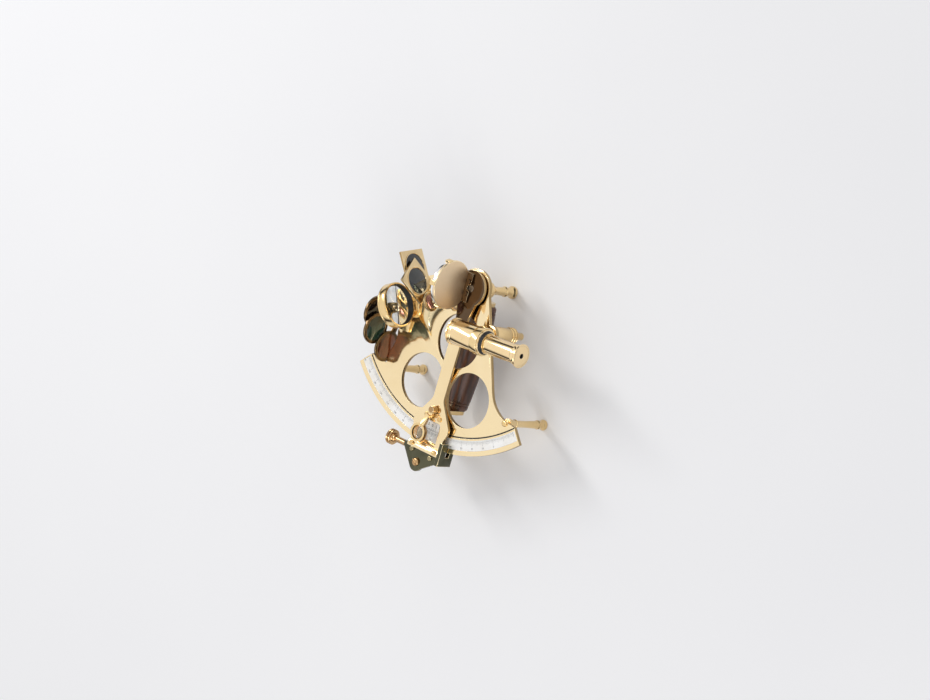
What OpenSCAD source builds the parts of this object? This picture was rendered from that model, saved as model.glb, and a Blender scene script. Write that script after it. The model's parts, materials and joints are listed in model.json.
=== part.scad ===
// Vernier sextant, lying face up on its three legs.
// The pivot of the index arm stands over the origin, the arc lies toward -Y, and the eyepiece
// looks out toward +X. All sizes are in millimetres and all angles in degrees.

/* [Frame] */
// Outer radius of the limb, measured from the pivot
limb_r = 168; // [160:1:185]
// Width of the limb from its outer edge to the groove
limb_w = 18; // [17:0.5:20]
// Angle that the limb reaches on the left of the middle
limb_left = 45.5; // [43:0.5:50]
// Angle that the limb reaches on the right of the middle
limb_right = 41.2; // [41:0.2:48]
// Thickness of the frame plate
frame_t = 4; // [3:0.5:6]
// Radius of the three round holes in the frame
hole_r = 27.9; // [22:0.1:28.5]
// Radius of the head round the pivot
head_r = 20.4; // [19.2:0.2:24]
// Height of the frame above the surface that the legs stand on
leg_h = 58; // [54:1:75]
// Radius of the shaft of a leg
leg_r = 4; // [3:0.25:4.5]

/* [Index arm] */
// Width of the arm's bar
arm_w = 15.5; // [12:0.5:16]
// Thickness of the arm
arm_t = 3.2; // [2.4:0.2:4]
// Radius of the arm's round head
arm_head_r = 18.5; // [16:0.5:20]
// Radius of the axle in its bush
axle_r = 4; // [3:0.25:4.5]
// Width of the plate round the vernier window
window_plate_w = 42; // [38:1:46]

/* [Mirrors] */
// Radius of the index mirror
index_mirror_r = 25.2; // [20:0.2:25.4]
// Height of both mirrors' middles above the face of the frame
mirror_h = 28; // [27:0.5:32]
// Outer radius of the horizon mirror's ring
horizon_r = 23; // [19:0.5:23.5]
// Angle of the horizon mirror's normal from the telescope side
horizon_turn = 28; // [24:1:32]

/* [Telescope] */
// Radius of the telescope's body
tube_r = 13.2; // [11:0.1:13.6]
// Length of the telescope's body
tube_len = 43; // [38:1:48]
// Radius of the draw tube
draw_r = 9.8; // [8:0.1:10.4]
// Length of the draw tube that shows
draw_len = 42; // [35:1:50]
// Height of the telescope's axis above the face of the frame
tele_h = 28; // [27:0.5:34]

/* [Shades] */
// Side of a square index shade
plate_side = 34; // [30:0.5:35]
// Radius of the glass in a square index shade
plate_glass_r = 14.2; // [11:0.1:14.5]
// Radius of the glass in the round index shade
round_glass_r = 8.2; // [7:0.1:11]
// Outer radius of a round horizon shade
disc_r = 16.5; // [13:0.5:16.5]
// Radius of the pins that the shades turn on
shade_pin_r = 1.6; // [1.2:0.1:2]

/* [Handle] */
// Length of the grip
grip_len = 112; // [100:1:113]
// Largest radius of the grip
grip_r = 14.5; // [12:0.5:15]

/* [Fits] */
// Radial clearance of a shaft that turns in its bore
run_fit = 0.04; // [0.02:0.01:0.08]
// Radial clearance of a screw in its hole
screw_fit = 0.05; // [0.03:0.01:0.1]
// Gap between pieces that pass each other
gap = 0.35; // [0.3:0.05:0.5]

/* [Hidden] */
$fn = 96;

brass = "goldenrod";
silver = "silver";
wood = "saddlebrown";
cut = 1;

// Heights of the frame's two faces
back_z = leg_h;
face_z = leg_h + frame_t;

// The limb and what is on it
groove_r = limb_r - limb_w;
groove_w = 1.4;
groove_d = 0.9;
scale_in = groove_r + 2.5;
scale_out = limb_r - 5;
scale_t = 1;

// The web of the frame: its flanks run straight down from the head and curve out to the limb
flank_top = [18.6, 4];
flank_low = [57.7, -86];
foot_y = -107.8;
flank_corner_x = flank_low[0] + (flank_low[1] - foot_y) * (flank_low[0] - flank_top[0])
    / (flank_top[1] - flank_low[1]);
flank_fillet_r = 36;
upper_hole = [0, -55.3];
side_hole = [32.1, -107.8];
leg_in = 8.46;
leg_turn = 4.04;
leg_at = on_arc(groove_r - leg_in, limb_right - leg_turn);
leg_head_r = 5;
leg_screw_r = 1.5;
leg_stud_r = 2;
leg_stud_h = 3;
leg_screw_head_r = 3.2;
leg_screw_head_h = 1.7;

// The pivot: the bush stands proud of the frame, and the axle's flange turns on it
bush_r = axle_r + 2;
bush_flange_r = axle_r + 6;
bush_proud = 1.05;
bush_below = 4;
axle_flange_t = 1.2;
arm_z = face_z + bush_proud + gap + axle_flange_t;
arm_top = arm_z + arm_t;
nut_r = axle_r + 2.1;
nut_h = 4.5;
axle_low = back_z - bush_below - gap - nut_h - 1;
cup_in = bush_r + 0.8;
cup_out = cup_in + 2.2;
cup_h = 18;
apex_foot_r = 6.5;

// The lower end of the arm, measured in from the limb's outer edge
end_top_y = -(limb_r - 50);
flare_y = -(limb_r - 25);
flare_w = window_plate_w + 6;
waist_y = -(limb_r - 12);
end_y = -(limb_r + 5);
window_w = 25;
window_top = -(limb_r - 27);
window_low = -(scale_out + 2.5);
vernier_in = groove_r - 6.5;
vernier_out = scale_in - 0.2;
vernier_z = face_z + gap;

// The clamp that grips the limb from behind, and the tangent screw below the limb
clamp_half = 4.4;
spine_in = limb_r + 0.5;
spine_out = limb_r + 3.3;
lip_in = limb_r - 4;
lip_t = 1.6;
jaw_gap = 3;
jaw_t = 3.5;
jaw_top = back_z - jaw_gap;
jaw_low = jaw_top - jaw_t;
clamp_y = -(limb_r - 8);
shoe_r = 6;
shoe_t = 2;
shoe_gap = 0.6;
clamp_screw_r = 2.5;
swivel_r = 2.5;
tangent_y = -(limb_r + 8.8);
tangent_z = face_z - 5;
tangent_r = 2;
tangent_post_r = 4.5;
tongue_t = 2;
carrier_t = arm_z - face_z + 0.6;
carrier_z = arm_z - carrier_t;
carrier_top = -(limb_r + 3.8);
bearing_x = [-26, 17];
bearing_w = 4;
cheek_x = window_plate_w / 2;
cheek_t = 4.5;
cheek_top_y = waist_y - 1;
bar_h = 2.6;

// Places of the small screws at the arm's lower end, and of the two dome screws and the stop
small_screw_r = 1.2;
dome_screw_r = 1.4;
stop_screw_r = 2;
end_screws = [[-9, window_top + 4.5], [9, window_top + 4.5]];
bar_screws = [[-16, end_y + 3.5], [16, end_y + 3.5]];
carrier_screws = [[-18, carrier_top - 4.8], [8, carrier_top - 6.4]];
stop_screw = [-8, carrier_top - 16];

// The reading lens
magnifier_at = [0, -(limb_r - 39)];
magnifier_pin_r = 1.5;
magnifier_lug_t = 3.2;
washer_t = 1;
lens_at = [-8, -(limb_r - 12)];
lens_r = 7.3;
lens_h = 11.5;
lens_t = 3;

// The index mirror stands on the head of the arm
mirror_turn = 2;
mirror_back_x = -5.8;
mirror_back_t = 3;
mirror_glass_t = 3;
mirror_base_t = 2;
mirror_base_z = arm_top + mirror_base_t;
mirror_z = face_z + mirror_h;
base_screws = [[mirror_back_x + 3.4, -6], [mirror_back_x + 3.4, 6]];

// The horizon mirror
horizon_at = [-68.5, -41.5];
horizon_depth = 10;
// Distance of the ring's front from the middle of the mirror, along its normal
horizon_front = 4;
horizon_wall = 2.2;
horizon_glass_r = horizon_r - horizon_wall;
horizon_glass_t = 2.5;
horizon_foot_t = 2.5;

// The index shades swing on a pin that lies along the light from mirror to mirror
beam_turn = 31;
plate_pin_u = 16;
plate_pin_h = 5;
plate_lug_r = shade_pin_r + 2;
plate_t = 2.2;
plate_reach = sqrt(2) * plate_side / 2 + plate_lug_r + 1;
plate_n = [-44.5, -49.5, -39.5];
plate_swing = [0, 35, -49.5];
plate_lug_t = 4.4;
plate_post_n = [-54.4, -34];

// The horizon shades swing on a pin that lies along the telescope's line of sight
disc_pin_y = -60.5;
disc_pin_h = -3;
disc_reach = disc_r + 14.5;
disc_t = 2.2;
disc_glass_r = disc_r - 3.2;
disc_lug_r = shade_pin_r + 2.4;
disc_lug_t = 3;
disc_x = [-93.2, -89.6, -86];
disc_swing = [-8, 24, 74];
disc_post_x = -82.4;
disc_post_t = 3;

// The telescope and the rising stem that carries it
tele_turn = 2.5;
tele_mid = [50.3, -40];
tube_back = 6;
shoulder_len = 4;
tube_wall = 1.3;
tube_bore_r = max(tube_r - tube_wall, draw_r + gap);
collar_x = -4;
collar_w = 9;
collar_r = tube_r + 1.2;
draw_x = tube_back + shoulder_len;
draw_end_x = draw_x + draw_len;
cap_r = 12.1;
cap_t = 1.6;
stem_at = [35.2, -36.4];
stem_r = 4;
stem_lug_r = 9;
stem_top_h = 9;
stem_below = 46;
socket_r = 8;
socket_h = 24;
rising_nut_h = 8;
rising_nut_r = 8.5;

// The handle behind the frame
grip_x = -8;
grip_z = leg_h - 32;
grip_top_y = -17.5;
bracket_t = 4;
bracket_w = 18;
bracket_foot = 13;
bracket_foot_t = 2.5;
bracket_screw_r = 1.5;

// Place on the limb at an angle from its middle, positive toward the right
function on_arc(r, a) = [r * sin(a), -r * cos(a)];

// A flat sector of a ring about the pivot, between two angles from the middle
module ring_sector(r_in, r_out, left, right, h) {
    reach = 2 * r_out;
    intersection() {
        difference() {
            cylinder(r = r_out, h = h, $fn = 240);
            translate([0, 0, -cut]) cylinder(r = r_in, h = h + 2 * cut, $fn = 240);
        }
        translate([0, 0, -cut]) linear_extrude(h + 2 * cut)
            polygon([[0, 0], on_arc(reach, -left), on_arc(reach, 0), on_arc(reach, right)]);
    }
}

// A slotted screw with its head up; the shank goes down from the seat
module slotted_screw(head_r, head_h, r, len) {
    slot_w = head_r / 4;
    difference() {
        union() {
            cylinder(r = head_r, h = head_h, $fn = 32);
            translate([0, 0, -len]) cylinder(r = r, h = len + head_h / 2, $fn = 24);
        }
        translate([-head_r - cut, -slot_w / 2, head_h * 0.6])
            cube([2 * head_r + 2 * cut, slot_w, head_h]);
    }
}

// Hole for the shank of a screw whose seat is at the origin
module screw_hole(r, len) {
    translate([0, 0, -len]) cylinder(r = r + screw_fit, h = len + cut, $fn = 24);
}

// Turns children into the frame of the light between the two mirrors
module in_beam() rotate([0, 0, beam_turn]) children();

// Turns children into the telescope's frame: x along the axis toward the eye
module in_telescope() {
    translate([tele_mid[0], tele_mid[1], face_z + tele_h]) rotate([0, 0, tele_turn]) children();
}

// Turns children into the index mirror's frame, at the pivot
module in_mirror() rotate([0, 0, mirror_turn]) children();

// Turns children into the horizon mirror's frame: x along its normal, z up
module in_horizon() {
    translate([horizon_at[0], horizon_at[1], mirror_z]) rotate([0, 0, horizon_turn]) children();
}

// A round bar along x from x0 to x1
module bar_x(r, x0, x1) translate([x0, 0, 0]) rotate([0, 90, 0]) cylinder(r = r, h = x1 - x0);

// A closed outline whose corners [x, y, r] are rounded to their radius r
function rounded(corners, steps = 7) = [
    for (i = [0 : len(corners) - 1]) let (
        count = len(corners),
        here = [corners[i][0], corners[i][1]],
        before = [corners[(i + count - 1) % count][0], corners[(i + count - 1) % count][1]],
        after = [corners[(i + 1) % count][0], corners[(i + 1) % count][1]],
        r = corners[i][2],
        u = (before - here) / norm(before - here),
        v = (after - here) / norm(after - here),
        half = acos(u * v) / 2,
        centre = here + (u + v) / max(norm(u + v), 1e-6) * r / sin(half),
        start = here + u * r / tan(half) - centre,
        end = here + v * r / tan(half) - centre,
        from = atan2(start[1], start[0]),
        turn = (atan2(end[1], end[0]) - from + 540) % 360 - 180
    )
    for (k = [0 : (r > 0 ? steps : 0)])
        r > 0 ? centre + r * [cos(from + turn * k / steps), sin(from + turn * k / steps)] : here
];

// Adds a corner radius to a point
function corner(p, r) = [p[0], p[1], r];

// The web: the right flank, the limb's inner side, and the left flank with the lobe that
// carries the horizon mirror and both sets of shades
module web_outline() {
    beyond = groove_r * 1.13;
    mid = 14;
    // The left flank stays clear of the lowest horizon shade
    disc_side = disc_x[2] + disc_t / 2 + 0.4;
    circle(r = head_r);
    polygon(rounded([
        corner(flank_top, 0), corner([flank_corner_x, foot_y], flank_fillet_r),
        corner(on_arc(groove_r, limb_right), 0), corner(on_arc(beyond, limb_right - 1), 0),
        corner(on_arc(beyond, mid), 0), corner(on_arc(beyond, -mid), 0),
        corner(on_arc(beyond, 1 - limb_left), 0),
        corner(on_arc(groove_r, -limb_left), 0), [disc_side, foot_y, 1.5], [disc_side, -96, 6],
        [-79.5, -80, 20], [-81.5, -70, 2], [-78.4, -67.5, 1], [-78.6, -52, 3], [-87, -46, 6],
        [-86, -28, 10], [-62, -6, 16],
        [-44, 2, 8], [-20, 13, 0]
    ]));
}

module frame() {
    color(brass) difference() {
        union() {
            translate([0, 0, back_z]) linear_extrude(frame_t) difference() {
                union() {
                    intersection() {
                        web_outline();
                        circle(r = groove_r + 2, $fn = 240);
                    }
                    translate(stem_at) circle(r = stem_lug_r);
                }
                translate(upper_hole) circle(r = hole_r);
                for (side = [-1, 1]) translate([side * side_hole[0], side_hole[1]]) circle(r = hole_r);
            }
            translate([0, 0, back_z])
                ring_sector(groove_r - 1, limb_r, limb_left, limb_right, frame_t);
        }
        translate([0, 0, face_z - groove_d])
            ring_sector(groove_r - groove_w / 2, groove_r + groove_w / 2, limb_left + 2,
                        limb_right + 2, groove_d + cut);
        translate([0, 0, face_z - scale_t])
            ring_sector(scale_in, scale_out, limb_left - 0.4, limb_right - 0.4, scale_t + cut);
        translate([0, 0, back_z - cut]) cylinder(r = bush_r, h = frame_t + 2 * cut);
        translate([leg_at[0], leg_at[1], face_z]) screw_hole(leg_screw_r, frame_t + cut);
        translate([-leg_at[0], leg_at[1], back_z - cut])
            cylinder(r = leg_stud_r, h = leg_stud_h + cut);
        translate([stem_at[0], stem_at[1], back_z - cut])
            cylinder(r = stem_r + run_fit, h = frame_t + 2 * cut);
        for (p = bracket_screws_upper()) translate([p[0], p[1], face_z])
            screw_hole(bracket_screw_r, frame_t + cut);
        for (p = bracket_screws_lower()) translate([p[0], p[1], face_z])
            screw_hole(bracket_screw_r, frame_t + cut);
    }
}

function bracket_screws_upper() = [for (side = [-1, 1]) [grip_x + side * 6, grip_top_y - 4.5]];
function bracket_screws_lower() =
    [for (side = [-1, 1]) [grip_x + side * 6, grip_top_y - grip_len - bracket_t - 6]];

module arc_scale() {
    color(silver) translate([0, 0, face_z - scale_t])
        ring_sector(scale_in, scale_out, limb_left - 0.4, limb_right - 0.4, scale_t);
}

module pivot_bush() {
    color(brass) difference() {
        union() {
            translate([0, 0, back_z - bush_below])
                cylinder(r = bush_r, h = frame_t + bush_below + bush_proud);
            translate([0, 0, face_z]) cylinder(r = bush_flange_r, h = bush_proud);
        }
        translate([0, 0, back_z - bush_below - cut])
            cylinder(r = axle_r + run_fit, h = frame_t + bush_below + bush_proud + 2 * cut);
    }
}

// The apex leg is also the cup that guards the end of the axle
module apex_leg() {
    waist = leg_r + 0.5;
    color(brass) rotate_extrude($fn = 64) polygon([
        [0, 0], [apex_foot_r, 0], [apex_foot_r, 3], [waist, 6], [waist, back_z - cup_h - 8],
        [cup_out, back_z - cup_h], [cup_out, back_z - 2.5], [cup_out + 3, back_z - 2.5],
        [cup_out + 3, back_z], [cup_in, back_z], [cup_in, back_z - cup_h + 1],
        [0, back_z - cup_h + 1]
    ]);
}

// A turned leg; the right one takes a screw from the face, the left one has a short stud
module side_leg(side) {
    if (side < 0) translate([0, 0, back_z - 1]) cylinder(r = leg_stud_r, h = leg_stud_h + 1);
    difference() {
        rotate_extrude($fn = 48) polygon([
            [0, 0], [5.5, 0], [5.5, 2.5], [leg_r, 5], [leg_r - 0.6, 30], [leg_r, back_z - 7],
            [leg_head_r, back_z - 4], [leg_head_r, back_z], [0, back_z]
        ]);
        if (side > 0) translate([0, 0, back_z]) screw_hole(leg_screw_r, 9);
    }
}

module side_legs() {
    color(brass) for (side = [-1, 1]) translate([side * leg_at[0], leg_at[1], 0])
        side_leg(side);
}

// The screws of the right leg and of the handle's brackets, driven from the face of the frame,
// and the two long screws along the grip
module frame_screws() {
    color(brass) {
        translate([leg_at[0], leg_at[1], face_z])
            slotted_screw(leg_screw_head_r, leg_screw_head_h, leg_screw_r, frame_t + 8);
        for (p = concat(bracket_screws_upper(), bracket_screws_lower()))
            translate([p[0], p[1], face_z])
                slotted_screw(2.6, 0.8, bracket_screw_r, frame_t + bracket_foot_t);
        translate([grip_x, grip_top_y + bracket_t, grip_z]) rotate([-90, 0, 0])
            slotted_screw(4, 2, 2, bracket_t + 18);
        translate([grip_x, grip_top_y - grip_len - bracket_t, grip_z]) rotate([90, 0, 0])
            slotted_screw(4, 2, 2, bracket_t + 18);
    }
}

module handle_grip() {
    end_r = grip_r - 3.5;
    color(wood) translate([grip_x, grip_top_y, grip_z]) rotate([90, 0, 0]) difference() {
        rotate_extrude($fn = 64) polygon(concat(
            [[0, 0], [end_r - 1.5, 0]],
            [for (i = [0 : 16]) let (t = i / 16)
                [end_r + (grip_r - end_r) * pow(sin(180 * t), 0.8), 1.5 + (grip_len - 3) * t]],
            [[end_r - 1.5, grip_len], [0, grip_len]]
        ));
        for (end = [0, grip_len - 19]) translate([0, 0, end - cut])
            cylinder(r = 2 + screw_fit, h = 19 + 2 * cut, $fn = 24);
    }
}

// The angle brackets: the foot lies on the back of the frame and the web holds the grip's end
module handle_bracket_upper() {
    color(brass) difference() {
        union() {
            translate([grip_x - bracket_w / 2, grip_top_y - 8, back_z - bracket_foot_t])
                cube([bracket_w, 8 + bracket_t, bracket_foot_t]);
            translate([grip_x - bracket_w / 2, grip_top_y, grip_z])
                cube([bracket_w, bracket_t, back_z - grip_z]);
            translate([grip_x, grip_top_y, grip_z]) rotate([-90, 0, 0])
                cylinder(r = bracket_w / 2, h = bracket_t);
        }
        translate([grip_x, grip_top_y + bracket_t, grip_z]) rotate([-90, 0, 0])
            screw_hole(2, bracket_t + cut);
        for (p = bracket_screws_upper()) translate([p[0], p[1], back_z])
            screw_hole(bracket_screw_r, bracket_foot_t + cut);
    }
}

module handle_bracket_lower() {
    y = grip_top_y - grip_len;
    color(brass) difference() {
        union() {
            translate([grip_x - bracket_w / 2, y - bracket_foot, back_z - bracket_foot_t])
                cube([bracket_w, bracket_foot, bracket_foot_t]);
            translate([grip_x - bracket_w / 2, y - bracket_t, grip_z])
                cube([bracket_w, bracket_t, back_z - grip_z]);
            translate([grip_x, y, grip_z]) rotate([90, 0, 0])
                cylinder(r = bracket_w / 2, h = bracket_t);
        }
        translate([grip_x, y - bracket_t, grip_z]) rotate([90, 0, 0])
            screw_hole(2, bracket_t + cut);
        for (p = bracket_screws_lower()) translate([p[0], p[1], back_z])
            screw_hole(bracket_screw_r, bracket_foot_t + cut);
    }
}

// The bracket: a round foot, a neck with a saddle for the ring, and a strap behind the glass
module horizon_bracket() {
    foot_z = -mirror_h;
    back_x = horizon_front - horizon_depth;
    strap_x = back_x - 2.5;
    color(brass) in_horizon() difference() {
        union() {
            translate([-3, 0, foot_z]) cylinder(r = 11, h = horizon_foot_t);
            translate([strap_x - 2, -5, foot_z]) cube([6 - strap_x, 10, mirror_h - horizon_r + 3]);
            translate([strap_x - 2, -4, foot_z]) cube([2, 8, mirror_h - 1]);
        }
        bar_x(horizon_r, strap_x, horizon_front + 10);
        for (z = [-18, -6]) translate([strap_x, 0, z]) rotate([0, -90, 0]) translate([0, 0, 2])
            screw_hole(1.4, 2 + cut);
    }
}

module horizon_ring() {
    seat = 1.5;
    back_x = horizon_front - horizon_depth;
    color(brass) in_horizon() difference() {
        bar_x(horizon_r, back_x, horizon_front);
        bar_x(horizon_glass_r - seat, back_x - cut, horizon_front + cut);
        bar_x(horizon_glass_r, horizon_front - 5, horizon_front + cut);
    }
}

// Half of the horizon glass; side is -1 for the half nearest the frame
module horizon_half(side) {
    in_horizon() intersection() {
        bar_x(horizon_glass_r, horizon_front - 5, horizon_front - 5 + horizon_glass_t);
        translate([-horizon_depth, -2 * horizon_r, side < 0 ? -2 * horizon_r : 0])
            cube([2 * horizon_depth, 4 * horizon_r, 2 * horizon_r]);
    }
}

module horizon_silvered_glass() color("lightsteelblue") horizon_half(-1);

module horizon_clear_glass() color("azure") horizon_half(1);

module horizon_adjusting_screws() {
    strap_x = horizon_front - horizon_depth - 4.5;
    color(brass) in_horizon() for (z = [-18, -6]) translate([strap_x, 0, z])
        rotate([0, -90, 0]) slotted_screw(2.8, 2.4, 1.4, 2 + 0.4);
}

// The foot lies on the lobe of the frame, and the ear reaches down past the lobe's edge
module horizon_shade_post() {
    ear_w = 10;
    foot_t = 2;
    color(brass) translate([disc_post_x, disc_pin_y, face_z]) difference() {
        union() {
            translate([0, -8, 0]) cube([16, 11.4, foot_t]);
            translate([0, -ear_w / 2, disc_pin_h])
                cube([disc_post_t, ear_w, foot_t - disc_pin_h]);
            translate([0, 0, disc_pin_h]) bar_x(ear_w / 2, 0, disc_post_t);
        }
        translate([0, 0, disc_pin_h])
            bar_x(shade_pin_r + screw_fit, -cut, disc_post_t + cut);
    }
}

module horizon_shade_pin() {
    end_x = disc_x[0] - disc_t / 2 - 0.5;
    washer_x = disc_x[2] + disc_t / 2 + 0.5;
    color(brass) translate([0, disc_pin_y, face_z + disc_pin_h]) {
        bar_x(shade_pin_r, end_x - 1, disc_post_x + disc_post_t);
        bar_x(disc_lug_r - 0.6, end_x - 2, end_x);
        bar_x(disc_lug_r - 1, washer_x, disc_post_x);
    }
}

// Places children at a horizon shade: x along the pin, z up the stem
module at_disc(i) {
    translate([disc_x[i], disc_pin_y, face_z + disc_pin_h]) rotate([disc_swing[i], 0, 0])
        children();
}

module horizon_shade_ring(i) {
    stem_w = 6;
    at_disc(i) difference() {
        union() {
            bar_x(disc_lug_r, -disc_lug_t / 2, disc_lug_t / 2);
            translate([-disc_t / 2, -stem_w / 2, 0])
                cube([disc_t, stem_w, disc_reach - disc_r + 2]);
            translate([0, 0, disc_reach]) bar_x(disc_r, -disc_t / 2, disc_t / 2);
        }
        bar_x(shade_pin_r + run_fit, -disc_t, disc_t);
        translate([0, 0, disc_reach]) bar_x(disc_glass_r, -disc_t, disc_t);
    }
}

module horizon_shade_glass(i) {
    at_disc(i) translate([0, 0, disc_reach]) bar_x(disc_glass_r, 0.3 - disc_t / 2, disc_t / 2 - 0.3);
}

module horizon_shade_ring_1() color(brass) horizon_shade_ring(0);
module horizon_shade_ring_2() color(brass) horizon_shade_ring(1);
module horizon_shade_ring_3() color(brass) horizon_shade_ring(2);
module horizon_shade_glass_1() color("dimgray") horizon_shade_glass(0);
module horizon_shade_glass_2() color("darkgreen") horizon_shade_glass(1);
module horizon_shade_glass_3() color("darkred") horizon_shade_glass(2);

// Two ears joined by a spine on the frame
module index_shade_post() {
    n0 = plate_post_n[0];
    n1 = plate_post_n[1];
    ear_t = 2.3;
    color(brass) translate([0, 0, face_z]) in_beam() translate([0, plate_pin_u, 0]) difference() {
        union() {
            for (n = [n0, n1 - ear_t]) {
                translate([n, -plate_lug_r, 0]) cube([ear_t, 2 * plate_lug_r, plate_pin_h]);
                translate([0, 0, plate_pin_h]) bar_x(plate_lug_r, n, n + ear_t);
            }
            translate([n0, -plate_lug_r, 0]) cube([n1 - n0, 2 * plate_lug_r, 1.05]);
        }
        translate([0, 0, plate_pin_h]) bar_x(shade_pin_r + screw_fit, n0 - cut, n1 + cut);
    }
}

module index_shade_pin() {
    n0 = plate_post_n[0];
    n1 = plate_post_n[1];
    color(brass) translate([0, 0, face_z]) in_beam() translate([0, plate_pin_u, plate_pin_h]) {
        bar_x(shade_pin_r, n0 - 1.2, n1 + 1);
        bar_x(shade_pin_r + 1, n0 - 1.2, n0);
        bar_x(shade_pin_r + 1, n1, n1 + 1.2);
    }
}

// Places children at an index shade: x along the pin, z up the stem
module at_plate(i) {
    translate([0, 0, face_z]) in_beam() translate([plate_n[i], plate_pin_u, plate_pin_h])
        rotate([-plate_swing[i], 0, 0]) children();
}

// The lug and stem that every index shade hangs by
module plate_stem(len) {
    bar_x(plate_lug_r, -plate_lug_t / 2, plate_lug_t / 2);
    translate([-plate_t / 2, -2.5, 0]) cube([plate_t, 5, len]);
}

module plate_bores(glass_r) {
    bar_x(shade_pin_r + run_fit, -plate_lug_t, plate_lug_t);
    translate([0, 0, plate_reach]) bar_x(glass_r, -plate_t, plate_t);
}

// A square plate that hangs by one corner from its lug
module index_shade_plate(i) {
    at_plate(i) difference() {
        union() {
            plate_stem(plate_lug_r + 5);
            translate([-plate_t / 2, 0, plate_reach]) rotate([45, 0, 0])
                translate([0, -plate_side / 2, -plate_side / 2])
                    cube([plate_t, plate_side, plate_side]);
        }
        plate_bores(plate_glass_r);
    }
}

// The third shade has a round rim in place of the square plate
module index_shade_round(i) {
    rim = 2;
    at_plate(i) difference() {
        union() {
            plate_stem(plate_reach - round_glass_r);
            translate([0, 0, plate_reach]) bar_x(round_glass_r + rim, -plate_t / 2, plate_t / 2);
        }
        plate_bores(round_glass_r);
    }
}

module index_shade_glass(i, r) {
    at_plate(i) translate([0, 0, plate_reach]) bar_x(r, 0.3 - plate_t / 2, plate_t / 2 - 0.3);
}

module index_shade_plate_1() color(brass) index_shade_plate(0);
module index_shade_plate_2() color(brass) index_shade_plate(1);
module index_shade_plate_3() color(brass) index_shade_round(2);
module index_shade_glass_1() color("darkslategray") index_shade_glass(0, plate_glass_r);
module index_shade_glass_2() color("black") index_shade_glass(1, plate_glass_r);
module index_shade_glass_3() color("rosybrown") index_shade_glass(2, round_glass_r);

// The arm: a round head, a bar that flares into the window plate, and the window
module arm_outline() {
    half = arm_w / 2;
    low_half = half - 0.7;
    plate_half = window_plate_w / 2;
    polygon(rounded([
        [-half - 5, -10, 0], [half + 5, -10, 0], [half, -32, 30], [low_half, end_top_y, 12],
        [flare_w / 2, flare_y, 1.5], [flare_w / 2, flare_y - 4, 1.5], [plate_half, waist_y, 4],
        [plate_half, end_y, 0.5], [-plate_half, end_y, 0.5], [-plate_half, waist_y, 4],
        [-flare_w / 2, flare_y - 4, 1.5], [-flare_w / 2, flare_y, 1.5],
        [-low_half, end_top_y, 12], [-half, -32, 30]
    ]));
}

module window_outline() {
    half = window_w / 2;
    polygon(rounded([
        [-half, window_low, 1], [half, window_low, 1], [half, window_top, 3],
        [-half, window_top, 3]
    ]));
}

module index_arm() {
    color(brass) translate([0, 0, arm_z]) difference() {
        union() {
            cylinder(r = arm_head_r, h = arm_t);
            linear_extrude(arm_t) difference() {
                arm_outline();
                window_outline();
            }
        }
        translate([0, 0, -cut]) cylinder(r = axle_r, h = arm_t + 2 * cut);
        translate([magnifier_at[0], magnifier_at[1], -cut])
            cylinder(r = 1.5 + screw_fit, h = arm_t + 2 * cut, $fn = 24);
        for (p = concat(end_screws, bar_screws, base_screws)) translate([p[0], p[1], arm_t])
            screw_hole(small_screw_r, arm_t + cut);
    }
}

module pivot_axle() {
    centre_r = 1.2;
    color(silver) difference() {
        union() {
            translate([0, 0, axle_low]) cylinder(r = axle_r, h = arm_top - axle_low);
            translate([0, 0, arm_z - axle_flange_t])
                cylinder(r = bush_flange_r, h = axle_flange_t);
        }
        translate([0, 0, arm_top - 1]) cylinder(r = centre_r, h = 1 + cut, $fn = 24);
    }
}

module axle_nut() {
    color(brass) translate([0, 0, back_z - bush_below - gap - nut_h]) difference() {
        cylinder(r = nut_r, h = nut_h, $fn = 6);
        translate([0, 0, -cut]) cylinder(r = axle_r, h = nut_h + 2 * cut);
    }
}

// The plate is thick where it meets the scale and thin above the lower bracket's screws
module vernier_plate() {
    raised = 1;
    step_r = vernier_in + 1.2;
    color(silver) difference() {
        translate([0, 0, vernier_z]) linear_extrude(arm_z - vernier_z) intersection() {
            translate([-12, -vernier_out - cut]) square([24, vernier_out + cut + window_top + 7]);
            circle(r = vernier_out, $fn = 240);
        }
        translate([0, 0, vernier_z - cut]) cylinder(r = step_r, h = raised + cut, $fn = 240);
        for (p = end_screws) translate([p[0], p[1], arm_z])
            screw_hole(small_screw_r, arm_z - vernier_z + cut);
    }
}

// The bevelled bar below the window, which shades the vernier
module bevel_bar() {
    depth = window_low - end_y - 0.5;
    color(brass) difference() {
        translate([-window_plate_w / 2, end_y, arm_top]) rotate([90, 0, 90])
            linear_extrude(window_plate_w)
                polygon([[0, 0], [depth, 0], [depth, 1], [depth * 0.45, bar_h], [0, bar_h]]);
        for (p = bar_screws) translate([p[0], p[1], arm_top + bar_h])
            screw_hole(small_screw_r, bar_h + cut);
    }
}

// The right cheek: a plate on edge, with a slot through which the limb passes
module arm_cheek() {
    low_y = end_y - 8;
    low_z = face_z - 11;
    slot_y = -(limb_r + 3.6);
    slot_low = back_z - 0.8;
    slot_top = face_z + 0.8;
    color(brass) difference() {
        translate([cheek_x, low_y, low_z])
            cube([cheek_t, cheek_top_y - low_y, arm_top + 3.6 - low_z]);
        translate([cheek_x - cut, slot_y, slot_low])
            cube([cheek_t + 2 * cut, limb_r, slot_top - slot_low]);
    }
}

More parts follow.
